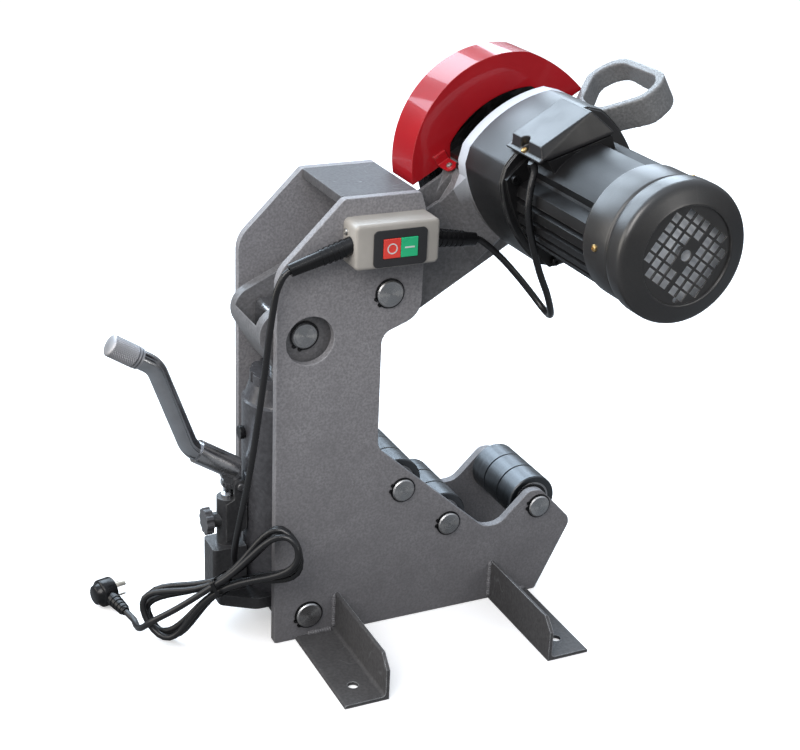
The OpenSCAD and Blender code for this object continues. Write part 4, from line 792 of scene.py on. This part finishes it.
LATHE_LINES, LATHE_CONTRAST, LATHE_DEPTH, SCRATCH_GREY = 1500, 0.14, 0.02, (0.6, 0.6, 0.6)
METALS = {          # colour, roughness, and where they differ from the usual, hairlines
    "handle_plate": ((0.52, 0.53, 0.55), 0.15, 0.05),
    "knurl_steel": ((0.50, 0.50, 0.52), 0.52, 0.0),
    "zinc_screw": ((0.62, 0.61, 0.58), 0.30),
    "brass_screw": ((0.66, 0.46, 0.20), 0.30),
    "plug_brass": ((0.55, 0.50, 0.42), 0.28),
    "race_steel": ((0.50, 0.50, 0.51), 0.30),
    "bush_bronze": ((0.55, 0.36, 0.15), 0.36),
    "black_oxide": ((0.045, 0.045, 0.047), 0.40, 0.2),
    "rocker_steel": ((0.60, 0.60, 0.61), 0.22, 0.03),
    "ram_chrome": ((0.60, 0.61, 0.62), 0.20),
}
for name, values in METALS.items():
    handled_metal(name, *values)
print(len(METALS), "metals without an axis")

# %% [markdown]
# ## Dressing the solids
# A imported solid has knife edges, and no real part does. Four modifiers mend that without touching
# its mesh: Weld joins the corners that the file keeps apart, Decimate merges coplanar triangles into
# clean faces, Bevel rounds every corner sharper than a limit, and Weighted Normal keeps the flat
# faces flat. Then the finish goes into the solid's material slot. The lift handle and the terminal lid
# are rounder than a bevel can make them, so they get an even mesh that is smoothed instead.


# %% Dressing the solids
def ease_edges(piece, width):
    """Rounds a piece's sharp edges by a width in millimetres."""
    piece.modifiers.new("join", "WELD").merge_threshold = JOIN_WITHIN * MM
    flat = piece.modifiers.new("flat_faces", "DECIMATE")
    flat.decimate_type, flat.angle_limit = "DISSOLVE", FLAT_WITHIN
    edge = piece.modifiers.new("eased_edges", "BEVEL")
    edge.width, edge.segments = width * MM, 4 if width > WIDE_EDGE else 2
    edge.limit_method, edge.angle_limit = "ANGLE", SHARP_FROM
    edge.miter_outer = "MITER_ARC"
    normals = piece.modifiers.new("flat_shading", "WEIGHTED_NORMAL")
    normals.weight, normals.keep_sharp = 70, False


def soften(piece, grid, rounds):
    """Rounds a casting all over: an even mesh of so many millimetres, smoothed so many times."""
    piece.modifiers.new("join", "WELD").merge_threshold = JOIN_WITHIN * MM
    even = piece.modifiers.new("even_mesh", "REMESH")
    even.mode, even.voxel_size, even.use_smooth_shade = "VOXEL", grid * MM, True
    melted = piece.modifiers.new("melted_edges", "SMOOTH")
    melted.factor, melted.iterations = 0.5, rounds


def dress(piece, finish):
    """Puts a finish on a piece."""
    piece.data.materials.clear()
    piece.data.materials.append(bpy.data.materials[finish])


JOIN_WITHIN, WIDE_EDGE = 0.02, 2        # millimetres
FLAT_WITHIN, SHARP_FROM = math.radians(0.5), math.radians(30)
# For each finish, the solids that wear it and the width of their eased edges in millimetres
PAINTED = {
    "plate_enamel": {"near_side_plate": 1.4, "far_side_plate": 1.4},
    "tie_paint": {"top_tie_plate": 1.2},
    "foot_paint": {"foot_rear_near": 0.9, "foot_rear_far": 0.9, "foot_front_near": 0.9,
                   "foot_front_far": 0.9},
    "arm_enamel": {"swing_arm": 0},
    "handle_cast": {"lift_handle": 0},
    "guard_paint": {"cutter_guard": 0.9},
    "motor_paint": {"motor_frame": 1.0},
    "housing_paint": {"gear_housing": 1.8},
    "cover_paint": {"fan_cover": 0},
    "lid_plastic": {"terminal_cover": 0},
    "bezel_moulding": {"switch_bezel": 0.8},
    "black_moulding": {"switch_contact_block": 0, "filler_plug": 0.8, "mains_strain_relief": 0,
                       "motor_strain_relief": 0, "cord_tie": 0.4},
    "fan_moulding": {"cooling_fan": 0},
    "box_plastic": {"switch_box": 0},
    "stop_red": {"stop_button": 0.8},
    "start_green": {"start_button": 0.8},
    "jack_paint": {"jack_tank": 1.6, "jack_gland_nut": 0.8, "release_knob": 0.8},
    "jack_casting": {"jack_base": 2.6},
    "rocker_steel": {"handle_rocker": 0.8},
    "handle_plate": {"pump_handle": 0, "handle_grip": 0},
    "ram_chrome": {"jack_ram": 1.2, "pump_plunger": 0.4},
    "race_steel": {"rear_roller_bearings": 0.6, "middle_roller_bearings": 0.6, "front_roller_bearings": 0.6,
                   "head_bearings": 0, "fulcrum_pin": 0.5},
    "bush_bronze": {"pivot_bushes": 0},
    "black_oxide": {"pin_circlips": 0, "ram_pin_circlips": 0},
    "cord_sheath": {"motor_lead": 0, "mains_cord_run": 0, "mains_cord_hank": 0, "mains_cord_tail": 0,
                    "mains_plug": 0},
}
SOFT_FORMS = {"lift_handle": (1.5, 12), "terminal_cover": (1.0, 5)}   # grid in millimetres, rounds
for finish, widths in PAINTED.items():
    for node, width in widths.items():
        dress(cad[node], finish)
        if width:
            ease_edges(cad[node], width)
for node, (grid, rounds) in SOFT_FORMS.items():
    soften(cad[node], grid, rounds)
print(sum(len(w) for w in PAINTED.values()), "solids dressed with", len(PAINTED), "finishes")

# %% [markdown]
# ## Turned solids
# Pins, rollers and the wheel get their own turned finish, each about its own axis.

# %% Turned solids
PIN_STEEL, ROLLER_STEEL = (0.50, 0.27, 0.9, 1.01, 0.3), (0.105, 0.34, 0.5, 1.12, 0.03)
TURNED = {          # shade, roughness, stretch of the highlights, blue against red, hairlines
    "cutter_wheel": (0.30, 0.26, 0.6, 1.01, 0.3), "cutter_nut": (0.26, 0.34, 0.3, 1.01, 0.3),
    "cutter_spindle": (0.40, 0.28, 0.5, 1.01, 0.3), "motor_rotor": (0.38, 0.32, 0.4, 1.01, 0.3),
    "arm_pivot_pin": PIN_STEEL, "jack_base_pin": PIN_STEEL, "ram_pin": PIN_STEEL,
}
for place in ("rear", "middle", "front"):
    TURNED[place + "_roller"], TURNED[place + "_roller_pin"] = ROLLER_STEEL, PIN_STEEL
for node, (shade, roughness, stretch, blue, scratches) in TURNED.items():
    steel = (shade, shade * (1 + blue) / 2, shade * blue)
    turned_metal(node + "_steel", steel, middle(node), (0, 1, 0), roughness, stretch, scratches)
    dress(cad[node], node + "_steel")
turned_metal("jack_cylinder_steel", (0.4, 0.4, 0.41), middle("jack_cylinder"), (0, 0, 1), 0.3)
dress(cad["jack_cylinder"], "jack_cylinder_steel")
for piece, finish in ((mains_cord, "cord_sheath"), (motor_lead, "cord_sheath"),
                      (mains_plug, "black_moulding"), (plug_pins, "plug_brass")):
    dress(piece, finish)
print(len(TURNED) + 1, "turned solids")

# %% [markdown]
# ## Cutting holes
# Holes and recesses are cut with a Boolean modifier, which is evaluated at once, so no helper object
# stays behind. Tools may overlap each other, and for that the exact solver has to look at its own
# crossings too.


# %% Cutting holes
def cut_out(name, body_mesh, tool_mesh):
    """Cuts one bmesh out of another; returns the finished piece."""
    body, tool = finished(name + "_body", body_mesh), finished(name + "_tool", tool_mesh)
    cut = body.modifiers.new("cut", "BOOLEAN")
    cut.object, cut.operation, cut.solver, cut.use_self = tool, "DIFFERENCE", "EXACT", True
    mesh = bpy.data.meshes.new_from_object(body.evaluated_get(bpy.context.evaluated_depsgraph_get()))
    bpy.data.objects.remove(body)
    bpy.data.objects.remove(tool)
    result = bmesh.new()
    result.from_mesh(mesh)
    bpy.data.meshes.remove(mesh)
    return finished(name, result)


print("holes are cut with the exact solver")

# %% [markdown]
# ## Swing arm
# Behind the rim of the head's flange the casting is necked in, so that a dark gap shows between the
# flange and the guard. The piece starts as a copy of the solid, and a block is cut out of it there.

# %% Swing arm
NECK_FROM, NECK_TO, NECK_LOW, NECK_HIGH, NECK_HALF, ARM_EDGE = -69.5, -27, 56, 140, 140, 2.4
bm = bmesh.new()
bm.from_mesh(cad["swing_arm"].data)
bmesh.ops.remove_doubles(bm, verts=bm.verts, dist=JOIN_WITHIN * MM)
neck = bmesh.new()
block(neck, on_head(0, (NECK_FROM + NECK_TO) / 2, (NECK_LOW + NECK_HIGH) / 2),
      (2 * NECK_HALF, NECK_TO - NECK_FROM, NECK_HIGH - NECK_LOW), HEAD_AXES)
arm_casting = cut_out("arm_casting", bm, neck)
ease_edges(arm_casting, ARM_EDGE)
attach(arm_casting, "arm")
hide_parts("swing_arm")
dress(arm_casting, "arm_enamel")
print("arm casting of", len(arm_casting.data.polygons), "faces")

# %% [markdown]
# ## Switch box
# The box is a moulded shell with generous round edges, open at the back and for the buttons. It is a
# stack of rounded rectangles: up the outside, round the front edge, in through the button opening and
# back along the inside. Each has the same number of points, so faces between them close the shell.

# %% Switch box
BOX_EDGE, BOX_CORNER, BOX_WALL = 4.5, 7, 2.5
OPENING_INSET, OPENING_CORNER, INNER_CORNER = 4, 3, 4
QUARTER = [math.pi / 2 * step / 6 for step in range(7)]     # angles round one corner


def rounded_ring(bm, low, high, inset, corner, y):
    """Vertices of a rounded rectangle in XZ, set in from a box by so many millimetres."""
    ring = []
    for k, (sx, sz) in enumerate(((1, 1), (-1, 1), (-1, -1), (1, -1))):
        x = (high.x if sx > 0 else low.x) - sx * (inset + corner) * MM
        z = (high.z if sz > 0 else low.z) - sz * (inset + corner) * MM
        for angle in QUARTER:
            out = mm(math.cos(angle + k * math.pi / 2), 0, math.sin(angle + k * math.pi / 2)) * corner
            ring.append(bm.verts.new(Vector((x, y, z)) + out))
    return ring


low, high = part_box("switch_box")
frame_low, frame_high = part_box("switch_bezel")
bm = bmesh.new()
rings = [rounded_ring(bm, low, high, 0, BOX_CORNER, high.y)]
for angle in QUARTER:
    inset = BOX_EDGE * (1 - math.cos(angle))
    front = low.y + BOX_EDGE * MM * (1 - math.sin(angle))
    rings.append(rounded_ring(bm, low, high, inset, BOX_CORNER - inset, front))
for y in (low.y, low.y + BOX_WALL * MM):
    rings.append(rounded_ring(bm, frame_low, frame_high, OPENING_INSET, OPENING_CORNER, y))
for y in (low.y + BOX_WALL * MM, high.y):
    rings.append(rounded_ring(bm, low, high, BOX_WALL, INNER_CORNER, y))
skin(bm, rings, loop=True)
box_shell = finished("switch_box_shell", bm)
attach(box_shell, "frame")
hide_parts("switch_box")
dress(box_shell, "box_plastic")
print("box shell of", len(box_shell.data.polygons), "faces")

# %% [markdown]
# ## Fan cover
# The cover is spun sheet: a band that fits over the motor, a groove, a wider band, and a rounded
# shoulder that turns into a shallow cone round the grille. It is one closed profile turned about the
# motor's axis, with enough points on each bend to look rolled. The grille is a disc, and a Boolean
# takes its square holes, its centre hole and one screw hole in one go.

# %% Fan cover
COVER = [
    (77.5, 338), (77.5, 379.6), (77.1, 381), (76, 382.2), (75.6, 384), (76.2, 386), (78.2, 387.4),
    (79.8, 388.8), (80.4, 391), (80.5, 394), (80.5, 408), (80.2, 410.6), (79.3, 413), (77.6, 415),
    (75.2, 416.4), (70, 418.4), (60, 421.9), (58.2, 422.6), (56.9, 422.9), (55.9, 422.5), (55.3, 421.4),
    (55.2, 419.6), (55.2, 417.4), (58, 417.8), (74, 412.2), (77.8, 408), (77.8, 391.5), (73.2, 386),
    (73.2, 381), (75.1, 378), (75.1, 338)]
GRILLE_R, GRILLE_BACK, GRILLE_FRONT = 55.6, 418.6, 420
GRILLE = [(0.4, GRILLE_BACK), (GRILLE_R, GRILLE_BACK), (GRILLE_R, GRILLE_FRONT), (0.4, GRILLE_FRONT)]
GRID_ROWS, GRID_PITCH, GRID_HOLE, GRID_TURN = range(-4, 5), 12.5, 9.7, math.radians(23.5)
GRID_SPREAD = 0.12                      # share of a pitch by which the rows stand off the middle
GRID_HUB, GRID_RIM = 14, 6.6            # least distance of a hole from the centre and from the edge
HOLE_DEPTH, CENTRE_HOLE_R = 8, 6.5
SCREW_AT, SCREW_TURN, SCREW_HOLE_R = 50, math.radians(-129.4), 3
MOTOR_AXIS = -ACROSS

bm = bmesh.new()
turn(bm, COVER, SPINDLE, MOTOR_AXIS, sides=96, loop=True)
cover = finished("fan_cover_shell", bm)
disc = bmesh.new()
turn(disc, GRILLE, SPINDLE, MOTOR_AXIS, sides=96)
holes = bmesh.new()
grid_axes = Matrix.Rotation(-GRID_TURN, 4, ACROSS) @ HEAD_AXES
for i in GRID_ROWS:
    for k in GRID_ROWS:
        x, z = i * GRID_PITCH, (k + math.copysign(GRID_SPREAD, k)) * GRID_PITCH
        if GRID_HUB < math.hypot(x, z) < GRILLE_R - GRID_RIM:
            at = grid_axes @ Matrix.Translation(mm(x, -GRILLE_FRONT, z))
            block(holes, SPINDLE, (GRID_HOLE, HOLE_DEPTH, GRID_HOLE), at)
screw_at = on_head(SCREW_AT * math.cos(SCREW_TURN), 0, SCREW_AT * math.sin(SCREW_TURN))
for place, r in ((SPINDLE, CENTRE_HOLE_R), (screw_at, SCREW_HOLE_R)):
    turn(holes, [(r, GRILLE_BACK - 2), (r, GRILLE_FRONT + 2)], place, MOTOR_AXIS, sides=24)
grille = cut_out("fan_grille", disc, holes)
for piece in (cover, grille):
    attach(piece, "arm")
    dress(piece, "cover_paint")
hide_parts("fan_cover")
print("cover and grille,", len(grille.data.polygons), "faces in the grille")

# %% [markdown]
# ## Fan
# A pale plastic fan turns behind the grille: a hub, a disc that shows between the bars, and eight
# flat blades. It turns with the rotor, so it is a piece of its own.

# %% Fan
FAN_BORE, FAN_HUB, FAN_R, FAN_FRONT, FAN_BACK, FAN_BLADES = 10.2, 17, 62, 413, 351, 8
FAN = [
    (FAN_BORE, FAN_BACK), (FAN_HUB, FAN_BACK), (FAN_HUB, FAN_FRONT - 8), (FAN_R, FAN_FRONT - 9),
    (FAN_R, FAN_FRONT - 6.5), (FAN_HUB + 3, FAN_FRONT - 5), (FAN_HUB, FAN_FRONT - 3), (15, FAN_FRONT),
    (FAN_BORE, FAN_FRONT)]
BLADE_SIZE = (FAN_R - FAN_HUB, FAN_FRONT - FAN_BACK - 12, 3)
BLADE_AT = mm((FAN_HUB + FAN_R) / 2 - 1, -(FAN_FRONT + FAN_BACK) / 2 + 4, 0)
bm = bmesh.new()
turn(bm, FAN, SPINDLE, MOTOR_AXIS, sides=64, loop=True)
for k in range(FAN_BLADES):
    spin = Matrix.Rotation(math.tau * k / FAN_BLADES, 4, ACROSS)
    block(bm, SPINDLE, BLADE_SIZE, spin @ Matrix.Translation(BLADE_AT))
fan = finished("fan_wheel", bm)
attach(fan, "rotor")
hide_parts("cooling_fan")
dress(fan, "fan_moulding")
print("fan with", FAN_BLADES, "blades")

# %% [markdown]
# ## Knurled grip
# The handle ends in a knurled steel sleeve: two sets of grooves wind round it in opposite directions
# and leave small diamonds. They are real geometry here. Each point of a turned sleeve is pushed in by
# the deeper of the two grooves, which are the same saw-tooth along u + v and along u - v.

# %% Knurled grip
FULCRUM = Vector(joint["pump_swing"]["pos_m"])
HANDLE_LEAN = math.radians(147)
HANDLE_ALONG = Vector((math.cos(HANDLE_LEAN), 0, math.sin(HANDLE_LEAN)))
HANDLE_OFF = Vector((math.sin(HANDLE_LEAN), 0, -math.cos(HANDLE_LEAN)))
GRIP_FROM, GRIP_OFF, GRIP_LENGTH, GRIP_R = 208, 91.5, 44, 14.5
COLLAR = [(1.6, 0), (0.6, 0.5), (0.6, 2.8), (3.2, 3.1), (3.2, 4.6), (0.2, 4.9), (0.2, 7.0), (3.0, 7.3),
          (3.0, 8.9)]                           # how far under the grip's radius, and how far along
TIP = [(1.0, 1.4), (2.2, 0.5), (3.6, 0)]        # the same, counted from the far end
KNURL_FROM, KNURL_TO = 9.2, GRIP_LENGTH - 2.2
KNURL_DEPTH, KNURLS_ROUND, KNURL_ROWS, KNURL_STEPS = 1.0, 26, 10, 4
grip_root = FULCRUM + (HANDLE_ALONG * GRIP_FROM + HANDLE_OFF * GRIP_OFF) * MM
matrix = Matrix.Translation(grip_root) @ frame_for(HANDLE_ALONG)
rows = KNURL_ROWS * KNURL_STEPS
profile = [(0.4, 0)] + [(GRIP_R - under, h) for under, h in COLLAR]
profile += [(GRIP_R, KNURL_FROM + (KNURL_TO - KNURL_FROM) * k / rows) for k in range(rows + 1)]
profile += [(GRIP_R - under, GRIP_LENGTH - h) for under, h in TIP] + [(0.4, GRIP_LENGTH)]


def knurl_cut(u, v):
    """How deep the grooves are at a place on the sleeve."""
    return max(0, 1 - 3 * min(abs((u + v) % 1 - 0.5), abs((u - v) % 1 - 0.5))) * KNURL_DEPTH


bm = bmesh.new()
rings = []
for r, h in profile:
    row = (h - KNURL_FROM) / (KNURL_TO - KNURL_FROM) * KNURL_ROWS
    ring = []
    for i, (c, s) in enumerate(circle(KNURLS_ROUND * KNURL_STEPS)):
        left = r - knurl_cut(i / KNURL_STEPS, row) if r == GRIP_R else r
        ring.append(bm.verts.new(matrix @ mm(left * c, left * s, h)))
    rings.append(ring)
skin(bm, rings)
grip = finished("knurled_grip", bm)
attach(grip, "handle")
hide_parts("handle_grip")
dress(grip, "knurl_steel")
print(f"knurled sleeve with {KNURLS_ROUND} x {KNURL_ROWS} diamonds")

# %% [markdown]
# ## Handle tube
# The pump handle is bright steel tube with two bends. Its line has three straight legs, and each corner
# between them becomes an arc of the bending radius, so the reflections run round the bends unbroken.

# %% Handle tube
HANDLE_LEGS = [(24, 15.5), (85, 15.5), (185, 91.5), (208.5, 91.5)]    # along and off the socket
BEND_R, TUBE_R, BEND_STEPS = 34, 12.5, 14


def bent_line(corners, radius, steps):
    """A line through corners with an arc of the radius in place of each."""
    line = [corners[0]]
    for before, corner, after in zip(corners, corners[1:], corners[2:]):
        back, on = (before - corner).normalized(), (after - corner).normalized()
        half = back.angle(on) / 2
        centre = corner + (back + on).normalized() * radius / math.sin(half)
        start, end = ((corner + way * radius / math.tan(half) - centre).normalized() for way in (back, on))
        for k in range(steps + 1):
            line.append(centre + start.slerp(end, k / steps) * radius)
    return line + [corners[-1]]


legs = [FULCRUM + (HANDLE_ALONG * u + HANDLE_OFF * v) * MM for u, v in HANDLE_LEGS]
bm = bmesh.new()
tube(bm, bent_line(legs, BEND_R * MM, BEND_STEPS), TUBE_R * MM, sides=48)
handle_tube = finished("handle_tube", bm)
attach(handle_tube, "handle")
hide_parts("pump_handle")
dress(handle_tube, "handle_plate")
print("handle tube of", len(handle_tube.data.polygons), "faces")

# %% [markdown]
# ## Bearing seals
# A bearing sits in each end of every roller. Its rings are bare steel, and a black rubber seal closes
# the gap between them, so the end of a roller reads as bright, dark and bright rings.

# %% Bearing seals
SEAL_IN, SEAL_OUT, SEAL_DEPTH, SEAL_EDGE, SEAL_PROUD, SEAL_STEP = 18.4, 23.2, 0.6, 0.7, 0.25, 0.1
SEAL = [(SEAL_IN, -SEAL_DEPTH), (SEAL_IN, SEAL_STEP), (SEAL_IN + SEAL_EDGE, SEAL_PROUD),
        (SEAL_OUT - SEAL_EDGE, SEAL_PROUD), (SEAL_OUT, SEAL_STEP), (SEAL_OUT, -SEAL_DEPTH)]
for body, node in (("roller_a", "rear_roller_bearings"), ("roller_b", "middle_roller_bearings"),
                   ("roller_c", "front_roller_bearings")):
    low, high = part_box(node)
    centre = middle(node)
    bm = bmesh.new()
    for face, way in ((low.y, -1), (high.y, 1)):
        turn(bm, SEAL, Vector((centre.x, face, centre.z)), (0, way, 0), sides=64, loop=True)
    seals = finished(node.replace("bearings", "seals"), bm)
    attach(seals, body)
    dress(seals, "cord_sheath")
print("six seals")

# %% [markdown]
# ## Circlips
# Every pin is held by spring rings in grooves: a thin open ring of flat section, with a drilled lug at
# each end for the pliers. The ring is a rectangle swept round the pin, and the lugs are turned washers.

# %% Circlips
CLIP_IN, CLIP_OUT, CLIP_GAP, CLIP_T, CLIP_OPEN = -1.3, 1.9, 0.15, 1.7, math.radians(14)
CLIP_SECTION = ((CLIP_IN, CLIP_GAP), (CLIP_OUT, CLIP_GAP), (CLIP_OUT, CLIP_T), (CLIP_IN, CLIP_T))
CLIP_STEPS = 64
LUG_R, LUG_HOLE, LUG_AT = 2.7, 1.1, 1.6
LUG = [(LUG_HOLE, CLIP_GAP), (LUG_R, CLIP_GAP), (LUG_R, CLIP_T), (LUG_HOLE, CLIP_T)]
PLATE_FACE, RAM_RING_T, RAM_OPENING = 75, 2, 238


def round_pin(centre, angle, r, y):
    """A point so far from the axis of a pin along Y, at an angle round it; y is across the machine."""
    return Vector((centre.x, 0, centre.z)) + mm(r * math.cos(angle), y, r * math.sin(angle))


def circlip(bm, centre, pin_r, face, way, opening):
    """A ring round a pin along Y; face is where it starts, way is -1 or 1, opening is in degrees."""
    start = math.radians(opening) + CLIP_OPEN
    rings = []
    for k in range(CLIP_STEPS + 1):
        angle = start + (math.tau - 2 * CLIP_OPEN) * k / CLIP_STEPS
        rings.append([bm.verts.new(round_pin(centre, angle, pin_r + r, face + way * y))
                      for r, y in CLIP_SECTION])
    skin(bm, rings)
    for angle in (start, start - 2 * CLIP_OPEN):
        lug = round_pin(centre, angle, pin_r + LUG_AT, face)
        turn(bm, LUG, lug, ACROSS * way, sides=20, loop=True)


PIN_RINGS = {"arm_pivot_pin": (17.5, 212), "jack_base_pin": (17.5, 212), "rear_roller_pin": (15.5, 165),
             "middle_roller_pin": (15.5, 172), "front_roller_pin": (15.5, 172)}
bm = bmesh.new()
for pin, (pin_r, opening) in PIN_RINGS.items():
    for way in (-1, 1):
        circlip(bm, middle(pin), pin_r, way * PLATE_FACE, way, opening)
frame_rings = finished("pin_rings", bm)
ram_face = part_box("ram_pin_circlips")[1].y / MM - RAM_RING_T
pin_low, pin_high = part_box("ram_pin")
bm = bmesh.new()
for way in (-1, 1):
    circlip(bm, middle("ram_pin"), (pin_high.x - pin_low.x) / 2 / MM, way * ram_face, way, RAM_OPENING)
ram_rings = finished("ram_pin_rings", bm)
for piece, node, body in ((frame_rings, "pin_circlips", "frame"), (ram_rings, "ram_pin_circlips", "arm")):
    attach(piece, body)
    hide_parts(node)
    dress(piece, "black_oxide")
print(len(PIN_RINGS) * 2 + 2, "circlips")

# %% [markdown]
# ## Weld beads
# The angle feet are welded to the side plates. A bead is a row of overlapping ripples, so it is a
# tube whose radius swells and shrinks along its way, laid into the corner and painted over.

# %% Weld beads
BEAD_R, RIPPLE, RIPPLE_STEPS = 3.3, 3.4, 6
TIP_SHARE, TIP_RISE = 0.35, 12          # a bead starts and ends thin
BEAD_BASE, BEAD_WAVE, BEAD_DRIFT, DRIFT_PER_MM = 0.82, 0.2, 0.12, 0.365


def weld_bead(bm, start, end):
    """A rippled bead between two points in millimetres."""
    length = (end - start).length
    steps = int(length / RIPPLE * RIPPLE_STEPS)
    path = [(start + (end - start) * (k / steps)) * MM for k in range(steps + 1)]

    def swell(share):
        """The bead's radius at a share of its way."""
        tip = min(1, TIP_RISE * share + TIP_SHARE, TIP_RISE * (1 - share) + TIP_SHARE)
        wave = abs(math.sin(math.pi * share * length / RIPPLE))
        drift = BEAD_DRIFT * math.sin(DRIFT_PER_MM * share * length)
        return BEAD_R * MM * tip * (BEAD_BASE + BEAD_WAVE * wave + drift)
    tube(bm, path, swell, sides=12)


FOOT_BACK, FOOT_FRONT, FOOT_TOP, FOOT_T = 114, 119, 60, 5
BEAD_OFF, BEAD_ENDS = 0.8, 14           # off the corner, and short of the foot's end
FOOT_REACH = {-1: 52, 1: 66}            # behind the frame and in front of it
for end_name, sx in (("rear", -1), ("front", 1)):
    for side_name, sy in (("near", -1), ("far", 1)):
        bm = bmesh.new()
        y, z = sy * (PLATE_FACE + BEAD_OFF), FOOT_T + BEAD_OFF
        for x, low in ((FOOT_BACK - BEAD_OFF, 4), (FOOT_FRONT + BEAD_OFF, 9)):
            weld_bead(bm, Vector((sx * x, y, low)), Vector((sx * x, y, FOOT_TOP - 1)))
        far = FOOT_FRONT + FOOT_REACH[sx] - BEAD_ENDS
        weld_bead(bm, Vector((sx * (FOOT_FRONT + 4), y, z)), Vector((sx * far, y, z)))
        bead = finished(f"weld_{end_name}_{side_name}", bm)
        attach(bead, "frame")
        dress(bead, "plate_enamel")
print("twelve weld beads")

# %% [markdown]
# ## Screws and bolts
# A few fasteners show: brass pan heads on the fan cover and the terminal lid, zinc ones on the guard's
# tab and the switch box, and black socket-head bolts at the motor's flange. A head is a turned shape
# with a recess cut into its top.

# %% Screws and bolts
def cross_recess(bm, place, axis, width, depth):
    """A cross-shaped block for a screwdriver recess."""
    for k in range(2):
        arm = Matrix.Rotation(k * math.pi / 2 + CROSS_TURN, 4, "Z")
        block(bm, place, (width, width / 4, depth), frame_for(axis) @ arm)


def hex_recess(bm, place, axis, width, depth):
    """A six-sided block for a socket."""
    turn(bm, [(width / 2, -depth / 2), (width / 2, depth / 2)], place, axis, sides=6)


def fastener(name, spots, head, body, finish):
    """Heads at several spots, each (place, axis), with a recess in each one's top."""
    profile, recess, width, depth = head
    top = profile[-1][1] * MM
    heads, tools = bmesh.new(), bmesh.new()
    for place, axis in spots:
        turn(heads, profile, place, axis, sides=28)
        recess(tools, place + Vector(axis).normalized() * top, axis, width, depth)
    made = cut_out(name, heads, tools)
    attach(made, body)
    dress(made, finish)
    print(name, len(made.data.polygons), "faces")


PAN = [(0.2, -1), (2.2, -1), (2.2, 0), (4.2, 0), (4.3, 0.8), (3.7, 2.0), (2.2, 2.7), (0.2, 2.9)]
SOCKET_BOLT = [(0.2, 0), (5, 0), (5.2, 0.5), (5.2, 5.2), (4.7, 5.8), (0.2, 5.8)]
PAN_HEAD, SOCKET_HEAD = (PAN, cross_recess, 5, 2.4), (SOCKET_BOLT, hex_recess, 5, 5)
CROSS_TURN = 0.5                        # radians
BAND_R, BAND_AT, BAND_SCREWS = 77.5, -362, (151, 27, 269)       # degrees round the cover's band
BOLT_X, BOLT_Y, BOLT_Z = 57, -184, 62
LID_SCREW, TAB_SCREW, BOX_SCREW = (-34.6, -196.4, 92), (-79, -45, 51), (-120, -84, 563)
cover_spots = []
for angle in BAND_SCREWS:
    x, z = math.cos(math.radians(angle)), math.sin(math.radians(angle))
    cover_spots.append((on_head(BAND_R * x, BAND_AT, BAND_R * z), ALONG_ARM * x + OVER_ARM * z))
flange_spots = [(on_head(x, BOLT_Y, z), (0, -1, 0)) for x in (-BOLT_X, BOLT_X) for z in (-BOLT_Z, BOLT_Z)]
lid_spots, tab_spots = ([(on_head(*place), OVER_ARM)] for place in (LID_SCREW, TAB_SCREW))
box_spots = [(mm(*BOX_SCREW), (-1, 0, 0))]
fastener("cover_screws", cover_spots, PAN_HEAD, "arm", "brass_screw")
fastener("lid_screw", lid_spots, PAN_HEAD, "arm", "brass_screw")
fastener("tab_screw", tab_spots, PAN_HEAD, "arm", "zinc_screw")
fastener("box_screw", box_spots, PAN_HEAD, "frame", "zinc_screw")
fastener("flange_bolts", flange_spots, SOCKET_HEAD, "arm", "black_oxide")
print("fasteners on the cover, lid, tab, box and flange")

# %% [markdown]
# ## Marks on the push buttons
# The stop button carries a white ring and the start button a white bar, printed on the caps. Each is
# a thin raised shape that travels with its button.

# %% Marks on the push buttons
MARK_PROUD, MARK_SUNK, RING_IN, RING_OUT, BAR = 0.25, 0.2, 5.2, 6.7, (13, 0.5, 1.9)
RING = [(RING_IN, -MARK_SUNK), (RING_IN, MARK_PROUD), (RING_OUT, MARK_PROUD), (RING_OUT, -MARK_SUNK)]
for node, body in (("stop_button", "stop"), ("start_button", "start")):
    face = middle(node)
    face.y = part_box(node)[0].y
    bm = bmesh.new()
    if body == "stop":
        turn(bm, RING, face, (0, -1, 0), sides=48, loop=True)
    else:
        block(bm, face, BAR)
    mark = finished(body + "_mark", bm)
    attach(mark, body)
    dress(mark, "mark_white")
print("two marks")
